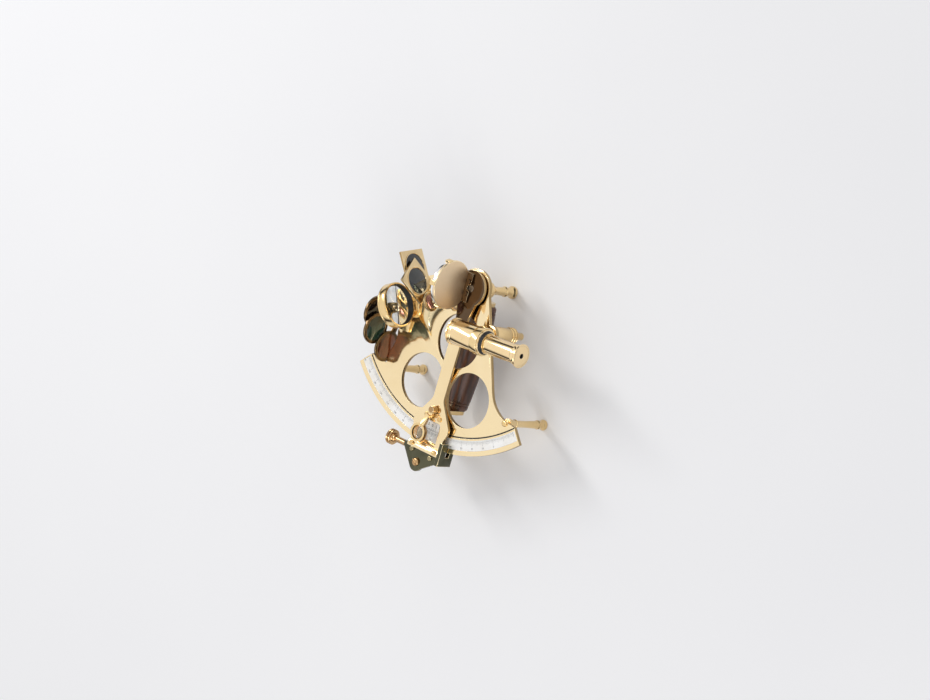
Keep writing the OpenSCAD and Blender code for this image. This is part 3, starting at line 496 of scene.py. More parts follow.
# A darker brass for the narrow sides of the plate, the arm and the shade plates: a painted shade
SIDE_PAINTED_SHADE = Brass("brass_side_painted_shade", (0.50, 0.35, 0.16), (0.26, 0.17, 0.07), 0.22, patina=0.6)
SILVER = Silvered("silvered_scale")
WHITENED = Silvered("silvered_vernier", (0.96, 0.95, 0.92), 0.2)
WOOD = Wood("grip_wood")
STEEL = Steel("axle_steel")
INK = Ink("scale_ink")
# Black lining for the insides of tubes and rings; on the outside of the telescope's shoulder it is
# a painted dark reflection
LAMPBLACK_AND_PAINTED_SHADE = Ink("lampblack_and_painted_shade", (0.010, 0.009, 0.008))
LOOKING = Looking("looking_glass")
CLEAR = Glass("clear_glass", (0.93, 0.96, 0.96))
SLATE = Glass("shade_slate", (0.045, 0.060, 0.066), 1.52, 0.7)
BLACK = Glass("shade_black", (0.006, 0.006, 0.008), 1.52, 0.5)
ROSE = Glass("shade_rose", (0.42, 0.22, 0.24), 1.52, 0.9)
SMOKE = Glass("shade_smoke", (0.012, 0.008, 0.006), 1.52, 0.5)
GREEN = Glass("shade_green", (0.024, 0.058, 0.034), 1.52, 0.6)
RED = Glass("shade_red", (0.200, 0.052, 0.015), 1.52, 0.7)


@lru_cache(maxsize=None)
def material(finish: Finish) -> bpy.types.Material:
    """Builds a finish once and hands the same material out again.

    Args:
        finish: the finish that is wanted.

    Returns:
        Its material.
    """
    made = bpy.data.materials.new(finish.name)
    finish.build(Graph(made))
    return made


# The bench


def clear_selection() -> None:
    """Deselects everything, because an operator acts on all that is selected."""
    bpy.ops.object.select_all(action="DESELECT")


def pick(obj: Node) -> None:
    """Makes a piece the only one that is selected.

    Args:
        obj: the piece.
    """
    clear_selection()
    obj.select_set(True)
    bpy.context.view_layer.objects.active = obj


def link(name: str, data: bpy.types.ID) -> Node:
    """Makes an object of a mesh, a light or a camera.

    Args:
        name: the object's name.
        data: what it shows.

    Returns:
        The object, in the scene.
    """
    obj = bpy.data.objects.new(name, data)
    bpy.context.scene.collection.objects.link(obj)
    return obj


@contextmanager
def editing(obj: Node) -> Iterator[None]:
    """Opens a piece in edit mode with everything selected, and closes it afterwards.

    Args:
        obj: the piece.

    Yields:
        Nothing; the piece is open meanwhile.
    """
    pick(obj)
    bpy.ops.object.mode_set(mode="EDIT")
    bpy.ops.mesh.select_all(action="SELECT")
    yield
    bpy.ops.object.mode_set(mode="OBJECT")


def settle(obj: Node) -> None:
    """Puts a piece's place into its mesh."""
    pick(obj)
    bpy.ops.object.transform_apply(location=True, rotation=True, scale=True)


def smooth(obj: Node) -> None:
    """Shades a piece smooth but keeps its sharp edges."""
    pick(obj)
    bpy.ops.object.shade_smooth_by_angle(angle=SMOOTH_ANGLE)


def dress(obj: Node, *finishes: Finish) -> None:
    """Gives a piece its materials.

    Args:
        obj: the piece.
        finishes: its finishes, one for each of its material slots.
    """
    obj.data.materials.clear()
    for finish in finishes:
        obj.data.materials.append(material(finish))


def apply_modifier(obj: Node, kind: str, **settings: Any) -> None:
    """Adds a modifier and applies it.

    Args:
        obj: the piece.
        kind: the modifier's type.
        settings: the modifier's settings.
    """
    pick(obj)
    modifier = obj.modifiers.new(kind.lower(), kind)
    for key, value in settings.items():
        setattr(modifier, key, value)
    bpy.ops.object.modifier_apply(modifier=modifier.name)


def dull_sides(obj: Node, way: Point = (0, 0, 1)) -> None:
    """Gives the narrow sides of a plate a material slot of their own, which takes a darker finish:
    a painted shade.

    Args:
        obj: the plate.
        way: the direction in which its broad faces look.
    """
    for face in obj.data.polygons:
        if abs(face.normal.dot(Vector(way))) < SIDEWAYS:
            face.material_index = SIDE_SLOT


def ease_edges(obj: Node, width: float, segments: int = 2, edge_slot: int = -1) -> None:
    """Rounds the sharp edges; the width is in millimetres."""
    apply_modifier(obj, "BEVEL", width=width * MM, segments=segments, limit_method="ANGLE",
                   angle_limit=EDGE_ANGLE, material=edge_slot, miter_outer="MITER_ARC")


def join(pieces: Sequence[Node], name: str) -> Node:
    """Joins pieces into the first of them.

    Args:
        pieces: what is joined.
        name: the name that the piece gets.

    Returns:
        The joined piece.
    """
    pick(pieces[0])
    for piece in pieces[1:]:
        piece.select_set(True)
    if len(pieces) > 1:
        bpy.ops.object.join()
    pieces[0].name = name
    return pieces[0]


@dataclass(frozen=True)
class Axis:
    """A line that pieces are turned round, with its start in millimetres."""

    start: Point
    direction: Point = (0.0, 0.0, 1.0)

    def at(self, reach: float) -> Vector:
        """The point at a distance along the line, in metres."""
        return (Vector(self.start) + Vector(self.direction).normalized() * reach) * MM

    def angles(self) -> Euler:
        """The turn that brings +Z onto the line."""
        return Vector(self.direction).to_track_quat("Z", "Y").to_euler()

    def matrix(self) -> Matrix:
        """Places something made upright at the origin on the line's start."""
        return Matrix.Translation(self.at(0.0)) @ self.angles().to_matrix().to_4x4()


@dataclass(frozen=True)
class Station:
    """One step of a turned profile: radius, reach along the axis, and depth of the knurling."""

    r: float
    h: float
    knurl: float = 0.0


class Lathe:
    """Turns a piece from a circle that is extruded and resized from station to station."""

    def __init__(self, axis: Axis, steps: int = 96) -> None:
        """Sets the lathe up.

        Args:
            axis: the line that the piece is turned round.
            steps: how many sides the circle has.
        """
        self.axis = axis
        self.steps = steps

    def _offset_teeth(self, obj: Node, factor: float, centre: Vector) -> None:
        """Moves every other point of the selected ring in or out.

        Args:
            obj: the piece, in edit mode.
            factor: how much nearer the axis or further out the points come.
            centre: the ring's middle.
        """
        bm = bmesh.from_edit_mesh(obj.data)
        ring = [v for v in bm.verts if v.select]
        turn = self.axis.matrix().to_3x3().inverted()
        ring.sort(key=lambda v: math.atan2(*(turn @ (v.co - centre)).xy))
        bpy.ops.mesh.select_all(action="DESELECT")
        for vert in ring[::2]:
            vert.select_set(True)
        bpy.ops.transform.resize(value=(factor,) * 3, center_override=centre)
        for vert in ring:
            vert.select_set(True)
        bm.select_flush(True)

    def mark(self, obj: Node, slot: int, test: Callable[[float, float], bool]) -> None:
        """Gives some faces of a turned piece another material slot.

        Args:
            obj: the piece.
            slot: the slot.
            test: says for a face's reach in millimetres, and for how far it looks away from
                the axis, whether it takes the slot.
        """
        way = self.axis.matrix().to_3x3().col[2]
        for face in obj.data.polygons:
            arm = face.center - self.axis.at(0.0)
            reach = arm.dot(way)
            away = face.normal.dot((arm - way * reach).normalized())
            if test(reach / MM, away):
                face.material_index = slot

    def turn(self, name: str, profile: Sequence[Row], hollow: bool = False,
             ease: float = 0.15) -> Node:
        """Turns the piece.

        Args:
            name: the piece's name.
            profile: its rows; a hollow piece's last one is its first again.
            hollow: true for a wall round the axis, false for a solid.
            ease: how far its edges are rounded, in millimetres.

        Returns:
            The turned piece.
        """
        steps = [Station(*row) for row in profile]
        first = steps[0]
        clear_selection()
        bpy.ops.mesh.primitive_circle_add(
            vertices=self.steps, radius=first.r * MM, location=self.axis.at(first.h),
            rotation=self.axis.angles(), fill_type="NOTHING" if hollow else "NGON")
        obj = bpy.context.object
        obj.name = name
        settle(obj)

        with editing(obj):
            for last, here in zip(steps, steps[1:]):
                centre = self.axis.at(here.h)
                bpy.ops.mesh.extrude_region_move(
                    TRANSFORM_OT_translate={"value": centre - self.axis.at(last.h)})
                bpy.ops.transform.resize(value=(here.r / last.r,) * 3, center_override=centre)
                before = (last.r - last.knurl) * here.r / last.r
                after = here.r - here.knurl
                if abs(after / before - 1.0) > SAME_RATIO:
                    self._offset_teeth(obj, after / before, centre)
            bpy.ops.mesh.select_all(action="SELECT")
            if hollow:
                bpy.ops.mesh.remove_doubles(threshold=TURNED_MERGE)
            bpy.ops.mesh.normals_make_consistent(inside=False)
        if ease:
            ease_edges(obj, ease)
        smooth(obj)
        return obj


class ScrewHead(Enum):
    """The shapes of screw heads on the instrument: how much of a head's radius is flat."""

    DOME = 0.55
    CHEESE = 0.88


@dataclass(frozen=True)
class Screws:
    """Screws of one kind, with a head's radius and height in millimetres.

    A seat is its place, how the slot is turned in degrees, and for a screw that doesn't look up
    the side of Y that it looks to.
    """

    head: ScrewHead
    size: tuple[float, float]
    finish: Finish
    seats: tuple[Row, ...]
    foot: tuple[float, float] = (0.96, -0.2)
    rim: tuple[Row, ...] = ((1.0, 0.0), (1.0, 0.35), (0.93, 0.66))
    crown: float = 0.9
    slot: Point = (3.0, 0.24, 0.8)

    def master(self) -> Node:
        """Models one head, upright at the origin.

        Returns:
            The head.
        """
        radius, height = self.size
        flat = radius * self.head.value
        profile = [(radius * self.foot[0], self.foot[1])]
        profile += [(radius * r, height * h) for r, h in self.rim]
        profile += [((radius + flat) / 2, height * self.crown), (flat, height)]
        head = Lathe(Axis((0, 0, 0)), 40).turn("head", profile, ease=0)
        long, wide, deep = self.slot
        clear_selection()
        bpy.ops.mesh.primitive_cube_add(size=1.0, location=(0, 0, height * MM), scale=(
            long * radius * MM, radius * wide * MM, height * deep * MM))
        cutter = bpy.context.object
        settle(cutter)
        apply_modifier(head, "BOOLEAN", object=cutter, operation="DIFFERENCE", solver="EXACT")
        bpy.data.objects.remove(cutter)
        ease_edges(head, 0.06, 1)
        smooth(head)
        return head

    def build(self) -> list[Node]:
        """Sets a copy of the head on every seat.

        Returns:
            The copies.
        """
        head = self.master()
        dress(head, self.finish)
        copies = []
        for x, y, z, turn, *side in self.seats:
            axis = Axis((x, y, z), (0, side[0], 0)) if side else Axis((x, y, z))
            mesh = head.data.copy()
            mesh.transform(axis.matrix() @ Matrix.Rotation(math.radians(turn), 4, "Z"))
            copies.append(link("screw", mesh))
        bpy.data.objects.remove(head)
        return copies


@dataclass
class SubAssembly:
    """What every sub-assembly shares: how its pieces ride, replace and are dressed."""

    slots: dict[str, str] = field(init=False, repr=False)
    bodies: dict[str, str] = field(init=False, repr=False)

    def __post_init__(self) -> None:
        """Looks up the record's slots and bodies."""
        record = frame["record"]
        self.slots = {row["node"]: row["material_slot"] for row in record["subparts"]}
        self.bodies = {node: body for body, nodes in record["behaviour"]["bodies"].items()
                       for node in nodes}

    def fit(self, obj: Node, like: str, *finishes: Finish, replaces: Sequence[str] = ()) -> Node:
        """Dresses a new piece and lets it ride as a node does.

        Args:
            obj: the piece.
            like: the node whose body it takes.
            finishes: its finishes, one for each of its material slots.
            replaces: the nodes that it stands for.

        Returns:
            The piece.
        """
        if finishes:
            dress(obj, *finishes)
        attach(obj, self.bodies[like])
        if replaces:
            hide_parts(*replaces)
        log.info("built %s", obj.name)
        return obj

    def turned(self, node: str, name: str, axis: Axis, rows: Sequence[Row], *finishes: Finish,
               sides: int = 96, hollow: bool = False, ease: float = 0.0) -> Node:
        """Turns a piece that stands for a node.

        Args:
            node: the node.
            name: the piece's name.
            axis: the line that it is turned round.
            rows: its profile.
            finishes: its finishes; the second one lines what looks toward the axis.
            sides: how many sides it has.
            hollow: true for a wall round the axis.
            ease: how far its edges are rounded.

        Returns:
            The piece.
        """
        lathe = Lathe(axis, sides)
        obj = lathe.turn(name, rows, hollow, ease)
        dress(obj, *finishes)
        if len(finishes) > 1:
            lathe.mark(obj, LINING_SLOT, lambda reach, away: away < -SIDEWAYS)
        return self.fit(obj, node, replaces=[node])

    def ease(self, node: str, finish: Finish, width: float = 0.25, segments: int = 2,
             edge: Finish = EDGE, others: Sequence[Finish] = (),
             paint: Optional[Callable[[Node], None]] = None) -> Node:
        """Stands for a node with a copy whose edges are rounded and brightened: partly rubbed
        wear, partly a painted highlight.

        Args:
            node: the node that is copied.
            finish: the finish of its faces.
            width: how far its edges are rounded, in millimetres.
            segments: the steps of the rounding.
            edge: the finish of its edges.
            others: finishes for more slots.
            paint: gives faces of the copy those slots.

        Returns:
            The copy.
        """
        obj = link(node + "_finished", frame["nodes"][node].data.copy())
        with editing(obj):
            bpy.ops.mesh.remove_doubles(threshold=NODE_MERGE)
            bpy.ops.mesh.dissolve_limited(angle_limit=FLAT_ANGLE)
        dress(obj, finish, edge, *others)
        if paint:
            paint(obj)
        ease_edges(obj, width, segments, EDGE_SLOT)
        smooth(obj)
        return self.fit(obj, node, replaces=[node])

    def screws(self, node: str, name: str, kinds: Sequence[Screws]) -> None:
        """Stands for a node of screws with slotted heads.

        Args:
            node: the node.
            name: the name of the joined screws.
            kinds: the screws.
        """
        heads = [head for kind in kinds for head in kind.build()]
        self.fit(join(heads, name), node, replaces=[node])


# Frame


@dataclass
class FramePlate(SubAssembly):
    """The frame plate with its bush, screws and legs."""

    leg_at: tuple[float, float] = (85.5, -112.8)
    fastenings: tuple[Screws, ...] = (
        Screws(ScrewHead.DOME, (3.2, 1.7), SCREW, ((85.5, -112.8, FACE_Z, 35),)),
        Screws(ScrewHead.CHEESE, (2.6, 0.8), SCREW, (
            (-14, -22, FACE_Z, 20), (-2, -22, FACE_Z, -40), (-14, -139.5, FACE_Z, 75),
            (-2, -139.5, FACE_Z, 10))),
        Screws(ScrewHead.CHEESE, (4.0, 2.0), SCREW, (
            (GRIP_X, -13.5, GRIP_Z, 30, 1), (GRIP_X, -133.5, GRIP_Z, 80, -1))))
    groove: tuple[float, float] = (61.05, 61.95)
    apex_rows: tuple[Row, ...] = (
        (6.1, 0), (6.5, 0.5), (6.5, 2.6), (5.2, 4.2), (4.5, 6), (4.5, 12), (5.4, 13), (5.4, 14.5),
        (4.5, 15.5), (4.3, 24), (4.5, 32), (8.4, 38.4), (9.0, 40), (9.0, 43), (8.6, 43.4),
        (8.6, 44.4), (9.0, 44.8), (9.0, 55.5), (12.0, 55.5), (12.0, 58), (6.8, 58), (6.8, 41),
        (0.02, 41))
    side_rows: tuple[Row, ...] = (
        (5.1, 0), (5.5, 0.5), (5.5, 2.1), (4.6, 3.6), (4, 5), (4, 9), (4.7, 9.8), (4.7, 11),
        (4, 11.8), (3.45, 30), (3.7, 45), (4.5, 45.6), (4.5, 46.6), (3.8, 47.2), (4, 51), (5, 54),
        (5, 58), (0.02, 58))

    def build(self) -> None:
        """Builds the plate, the bush, the legs and their screws."""
        self.ease("frame", PLATE, 0.3, others=(SIDE_PAINTED_SHADE, LAMPBLACK_AND_PAINTED_SHADE), paint=self._paint)
        self.ease("pivot_bush", POLISH, 0.2)
        self.turned("apex_leg", "apex_leg_turned", Axis((0, 0, 0)), self.apex_rows, UPRIGHT,
                    sides=72, ease=0.15)
        self._side_legs()
        self.screws("frame_screws", "frame_screws_slotted", self.fastenings)

    def _paint(self, obj: Node) -> None:
        """Gives the narrow sides a darker painted shade and blackens the groove round the limb.

        Args:
            obj: the plate.
        """
        dull_sides(obj)
        for face in obj.data.polygons:
            if self.groove[0] < face.center.z / MM < self.groove[1]:
                face.material_index = EXTRA_SLOT

    def _side_legs(self) -> None:
        """Turns one side leg for each side."""
        legs = [Lathe(Axis((side * self.leg_at[0], self.leg_at[1], 0)), 56).turn(
            "leg", self.side_rows) for side in (-1, 1)]
        self.fit(join(legs, "side_legs_turned"), "side_legs", UPRIGHT, replaces=["side_legs"])


@dataclass(frozen=True)
class Division:
    """One kind of line on a scale."""

    every: int
    length: float
    width: float


@dataclass
class Scale(SubAssembly):
    """The silvered arc with its divisions and figures."""

    zero_at: float = 30.0
    half_degree: float = 0.25
    first: int = -20
    last: int = 150
    foot: float = 0.7
    figure_size: float = 2.6
    figure_in: float = 2.35
    figure_every: int = 10
    borders: tuple[float, ...] = (SCALE_IN + 0.6, SCALE_OUT - 0.3)
    border: tuple[float, float] = (0.14, 0.3)
    border_steps: int = 170
    divisions: tuple[Division, ...] = (Division(1, 2.2, 0.09), Division(2, 3.4, 0.11),
                                       Division(10, 4.3, 0.16), Division(20, 5.2, 0.2))

    def build(self) -> None:
        """Builds the strip, its lines and its figures."""
        self.ease("arc_scale", SILVER, 0.08, 1, SILVER)
        count = (self.last - self.first) * 2
        pieces = [self._spun(SCALE_IN + self.foot, (kind.length, kind.width), count // kind.every)
                  for kind in self.divisions]
        pieces += [self._spun(radius, self.border, self.border_steps, False)
                   for radius in self.borders]
        self.fit(join(pieces, "arc_divisions"), "arc_scale", INK)
        self.fit(self._figures(), "arc_scale", INK)

    def place(self, radius: float, angle: float, height: float) -> dict[str, Point]:
        """Says where something stands on an arc round the pivot, and how it is turned.

        Args:
            radius: the arc's radius.
            angle: the place from the middle of the arc, in degrees.
            height: its height.

        Returns:
            The settings that put a new piece there.
        """
        cos, sin = heading(angle)
        return {"location": (radius * sin * MM, -radius * cos * MM, height * MM),
                "rotation": (0.0, 0.0, math.radians(angle))}

    def line(self, radius: float, size: tuple[float, float], top: float, angle: float) -> Node:
        """Makes one engraved line, filled and a touch proud.

        Args:
            radius: the radius where it starts.
            size: its length outwards and its width.
            top: the height of its top.
            angle: its place from the middle of the arc, in degrees.

        Returns:
            The line.
        """
        length, width = size
        clear_selection()
        bpy.ops.mesh.primitive_cube_add(
            size=1.0, scale=(width * MM, length * MM, INK_DEPTH * MM),
            **self.place(radius + length / 2, angle, top - INK_DEPTH / 2))
        obj = bpy.context.object
        settle(obj)
        return obj

    def figure(self, text: str, radius: float, size: float, top: float, angle: float) -> Node:
        """Writes one number on an arc.

        Args:
            text: the number.
            radius: the radius of its middle.
            size: the height of its line.
            top: the height of its top face.
            angle: its place from the middle of the arc, in degrees.

        Returns:
            The number as a mesh.
        """
        clear_selection()
        bpy.ops.object.text_add(**self.place(radius, angle, top - INK_DEPTH / 2))
        shape = bpy.context.object.data
        shape.body = text
        shape.size = size * MM
        shape.extrude = INK_DEPTH / 2 * MM
        shape.resolution_u = 3
        shape.align_x = shape.align_y = "CENTER"
        bpy.ops.object.convert(target="MESH")
        obj = bpy.context.object
        settle(obj)
        return obj

    def _spun(self, radius: float, size: tuple[float, float], steps: int,
              copies: bool = True) -> Node:
        """Spins a line round the pivot, from the right end of the scale to the left.

        Args:
            radius: the radius where it starts.
            size: its length outwards and its width.
            steps: how many steps the spin takes.
            copies: true for a row of lines, false for one curved line.

        Returns:
            The lines.
        """
        halves = self.first * 2 * self.half_degree
        obj = self.line(radius, size, FACE_Z + INK_PROUD, self.zero_at - halves)
        with editing(obj):
            bpy.ops.mesh.spin(
                steps=steps, dupli=copies, center=(0, 0, 0), axis=(0, 0, 1),
                angle=math.radians(self.last * 2 * self.half_degree - halves))
            if not copies:
                bpy.ops.mesh.select_all(action="SELECT")
                bpy.ops.mesh.remove_doubles(threshold=SPUN_MERGE)
        return obj

    def _figures(self) -> Node:
        """Writes every tenth number, with its foot toward the outer edge.

        Returns:
            The numbers.
        """
        return join([self.figure(str(value), SCALE_OUT - self.figure_in, self.figure_size,
                                 FACE_Z + INK_PROUD, self.zero_at - value * 2 * self.half_degree)
                     for value in range(0, self.last + 1, self.figure_every)], "arc_figures")


@dataclass
class Handle(SubAssembly):
    """The wooden grip between its two brackets."""

    top_y: float = -17.5
    length: float = 112.0
    end_r: float = 11.0
    belly_r: float = 14.5
    fullness: float = 0.8
    chamfer: float = 1.5
    steps: int = 48
    grooves: tuple[float, ...] = (6.0, 9.0, 103.0, 106.0)
    groove_half: float = 0.65
    groove_rows: tuple[Row, ...] = ((-0.7, 0.0), (-0.3, 0.55), (0.3, 0.55), (0.7, 0.0))

    def build(self) -> None:
        """Builds the grip and the brackets."""
        for end in ("upper", "lower"):
            self.ease(f"handle_bracket_{end}", POLISH, 0.4, 3)
        ends = ((self.end_r - self.chamfer, 0.0), (self.end_r, self.chamfer),
                (self.end_r, self.length - self.chamfer), (self.end_r - self.chamfer, self.length))
        reaches = [self.chamfer + (self.length - 2 * self.chamfer) * i / self.steps
                   for i in range(1, self.steps)]
        belly = [(self._radius(reach), reach) for reach in reaches
                 if all(abs(reach - groove) > self.groove_half for groove in self.grooves)]
        cuts = [(self._radius(groove + offset) - depth, groove + offset)
                for groove in self.grooves for offset, depth in self.groove_rows]
        rows = sorted((*ends, *belly, *cuts), key=lambda row: row[1])
        self.turned("handle_grip", "grip_turned", Axis((GRIP_X, self.top_y, GRIP_Z), (0, -1, 0)),
                    rows, WOOD, sides=80)

    def _radius(self, reach: float) -> float:
        """Says how thick the grip is.

        Args:
            reach: the distance from its upper end.

        Returns:
            Its radius there.
        """
        share = (reach - self.chamfer) / (self.length - 2 * self.chamfer)
        belly = max(0.0, math.sin(math.pi * share)) ** self.fullness
        return self.end_r + (self.belly_r - self.end_r) * belly


# Mirrors and shades


@dataclass
class HorizonMirror(SubAssembly):
    """The horizon mirror: a deep ring with a glass in two halves, on its bracket."""

    middle: Point = (-68.5, -41.5, MIRROR_Z)
    turn: float = 28.0
    adjusters: tuple[float, ...] = (-18.0, -6.0)
    ring_rows: tuple[Row, ...] = (
        (19.3, -6), (22.3, -6), (23, -5.3), (23, -4.4), (22.65, -4.1), (22.65, -3.7), (23, -3.4),
        (23, 2.2), (22.65, 2.5), (22.65, 2.8), (23, 3.1), (23, 3.4), (22.4, 4), (21.3, 4),
        (20.8, 3.5), (20.8, -1), (19.3, -1), (19.3, -6))
    adjuster_rows: tuple[Row, ...] = (
        (1.4, 8.1), (1.4, 10.5), (2.5, 10.5), *band(2.8, 10.7, 12.4, 0.25, 0.1), (2.4, 12.9),
        (0.02, 12.9))

    def axis(self, height: float = 0.0, sign: float = 1.0) -> Axis:
        """Finds a line along the mirror's normal.

        Args:
            height: how far it lies above the mirror's middle.
            sign: 1 toward the glass, -1 toward the back.

        Returns:
            The line.
        """
        cos, sin = heading(self.turn)
        x, y, z = self.middle
        return Axis((x, y, z + height), (sign * cos, sign * sin, 0.0))

    def build(self) -> None:
        """Builds the bracket, the ring, the glass and the knurled adjusting screws."""
        self.ease("horizon_bracket", POLISH, 0.35, 3)
        self.turned("horizon_ring", "horizon_ring_turned", self.axis(), self.ring_rows, POLISH,
                    LAMPBLACK_AND_PAINTED_SHADE, sides=128, hollow=True, ease=0.12)
        for node, glass in (("horizon_silvered_glass", LOOKING), ("horizon_clear_glass", CLEAR)):
            self.ease(node, glass, 0.15, 2, glass)
        heads = [Lathe(self.axis(height, -1.0), 48).turn("adjuster", self.adjuster_rows, ease=0)
                 for height in self.adjusters]
        self.fit(join(heads, "horizon_adjusters"), "horizon_adjusting_screws", SCREW,
                 replaces=["horizon_adjusting_screws"])


@dataclass
class IndexMirror(SubAssembly):
    """The index mirror on the arm's head, with its back toward the eyepiece."""

    round_back: float = 0.6
    round_glass: float = 0.5

    def build(self) -> None:
        """Builds the base, the back, the glass and the clips."""
        # The base is painted dark brown: a painted reflection
        self.ease("index_mirror_base", PAINTED_DARK_REFLECTION, 0.3)
        self.ease("index_mirror_back", DISC, self.round_back, 4)
        self.ease("index_mirror_glass", LOOKING, self.round_glass, 3, LOOKING)
        self.ease("index_mirror_clips", POLISH, 0.15)


@dataclass
class IndexShades(SubAssembly):
    """Three shades that swing into the light between the mirrors."""

    reach: float = 28.6
    pin_u: float = 16.0
    pin_z: float = 67.0
    along: tuple[float, ...] = (-44.5, -49.5, -39.5)
    swings: tuple[float, ...] = (0.0, 35.0, -49.5)
    glass_r: tuple[float, ...] = (14.2, 14.2, 8.2)
    turn: float = 31.0
    bezel_rows: tuple[Row, ...] = ((-0.9, 0.75), (0.5, 0.75), (0.5, 1.3), (0.1, 1.42),
                                   (-0.5, 1.25), (-0.9, 0.9), (-0.9, 0.75))

    def build(self) -> None:
        """Builds the post, the pin and the three shades."""
        self.ease("index_shade_post", POLISH, 0.25)
        self.ease("index_shade_pin", SCREW, 0.15)
        for number, glass in enumerate((SLATE, BLACK, ROSE), 1):
            # The plates' narrow sides take the painted side shade
            self.ease(f"index_shade_plate_{number}", SHADE, 0.3, others=(SIDE_PAINTED_SHADE,),
                      paint=lambda obj: dull_sides(obj, (*heading(self.turn), 0.0)))
            self.ease(f"index_shade_glass_{number}", glass, 0.2, 2, glass)
            self._bezel(number)

    def _bezel(self, number: int) -> None:
        """Turns the thin ring that holds a glass in its plate.

        Args:
            number: which shade it is on.
        """
        cos, sin = heading(self.turn)
        upright, aside = heading(self.swings[number - 1])
        n = self.along[number - 1]
        u = self.pin_u + self.reach * aside
        axis = Axis((n * cos - u * sin, n * sin + u * cos, self.pin_z + self.reach * upright),
                    (cos, sin, 0.0))
        r = self.glass_r[number - 1]
        rings = [Lathe(axis).turn("bezel", [(r + out, side * far) for out, far in self.bezel_rows],
                                  True, 0) for side in (-1, 1)]
        self.fit(join(rings, f"index_shade_bezel_{number}"), f"index_shade_plate_{number}", SHADE)


@dataclass
class HorizonShades(SubAssembly):
    """Three round shades that hang beside the horizon mirror."""

    rim: float = 0.45
    polish: float = 0.25

    def build(self) -> None:
        """Builds the post, the pin and the three shades."""
        self.ease("horizon_shade_post", POLISH, 0.3)
        self.ease("horizon_shade_pin", SCREW, 0.2)
        for number, glass in enumerate((SMOKE, GREEN, RED), 1):
            # The rings take the painted dark reflection, and their rims a painted highlight
            self.ease(f"horizon_shade_ring_{number}", RING_PAINTED_DARK_REFLECTION, self.rim, 3, RING_EDGE)
            self.ease(f"horizon_shade_glass_{number}", glass, self.polish, 2, glass)


# Index arm


@dataclass
class IndexArm(SubAssembly):
    """The arm with its axle, window, vernier, bar, cheek and lower plate."""

    neck_y: float = -38.0
    fastenings: tuple[Screws, ...] = (
        Screws(ScrewHead.CHEESE, (2.6, 1.1), SCREW, (
            (-9, -136.5, ARM_TOP, 15), (9, -136.5, ARM_TOP, 70))),
        Screws(ScrewHead.CHEESE, (2.6, 1.2), SCREW, (
            (-16, -169.5, ARM_TOP + 2.6, 50), (16, -169.5, ARM_TOP + 2.6, -20))),
        # These domed screws are painted dark olive: a painted reflection
        Screws(ScrewHead.DOME, (3, 1.4), PAINTED_OLIVE_REFLECTION_SCREW, (
            (-18.0, -176.6, ARM_Z, 40), (8.0, -178.2, ARM_Z, 40))),
        Screws(ScrewHead.DOME, (4.4, 2.4), BROWN, ((-8.0, -187.8, ARM_Z, -30),)),
        # The two screws on the head are painted dark brown: a painted reflection
        Screws(ScrewHead.CHEESE, (2.4, 1.4), PAINTED_DARK_REFLECTION, (
            (-2.4, -6, ARM_TOP + 2.0, -30), (-2.4, 6, ARM_TOP + 2.0, 30))))
    vernier_step: float = 0.3375
    vernier_half: int = 12
    vernier_out: float = 151.7
    vernier_lines: tuple[tuple[int, float], ...] = ((6, 3.4), (3, 2.6), (1, 1.7))
    line_width: float = 0.26
    figure_at: float = 145.9
    figure_size: float = 4.2
    figures: tuple[tuple[str, float], ...] = (("10", -4.05), ("5", -2.025), ("0", 0.0),
                                              ("5", 2.025), ("10", 4.05))

    def build(self) -> None:
        """Builds all that moves with the arm, apart from the mirror."""
        # The head and neck take a painted dark reflection, and the narrow sides a painted shade
        self.ease("index_arm", ARM, 0.3, others=(SIDE_PAINTED_SHADE, PAINTED_DARK_REFLECTION), paint=self._paint)
        self.ease("pivot_axle", STEEL, 0.2, 2, STEEL)
        # The cheek and the lower plate take the painted olive reflection
        for node, finish in (("axle_nut", POLISH), ("bevel_bar", ARM), ("arm_cheek", PAINTED_OLIVE_REFLECTION)):
            self.ease(node, finish, 0.3)
        self.ease("tangent_carrier", PAINTED_OLIVE_REFLECTION, 0.35)
        self._vernier()
        self.screws("arm_end_screws", "arm_screws_slotted", self.fastenings)

    def _paint(self, obj: Node) -> None:
        """Splits off the head and neck, which take a painted dark reflection, and gives the narrow
        sides a painted shade.

        Args:
            obj: the arm.
        """
        with editing(obj):
            bpy.ops.mesh.bisect(plane_co=(0, self.neck_y * MM, 0), plane_no=(0, 1, 0))
        for face in obj.data.polygons:
            if face.center.y > self.neck_y * MM:
                face.material_index = EXTRA_SLOT
        dull_sides(obj)

    def _vernier(self) -> None:
        """Builds the vernier plate, and engraves it next to the scale."""
        self.ease("vernier_plate", WHITENED, 0.3, 2, WHITENED)
        scale = Scale()
        top = ARM_Z + INK_PROUD
        marks = []
        for index in range(-self.vernier_half, self.vernier_half + 1):
            length = next(size for every, size in self.vernier_lines if index % every == 0)
            marks.append(scale.line(self.vernier_out - length, (length, self.line_width), top,
                                    index * self.vernier_step))
        for number, angle in self.figures:
            marks.append(scale.figure(number, self.figure_at, self.figure_size, top, angle))
        self.fit(join(marks, "vernier_divisions"), "vernier_plate", INK)


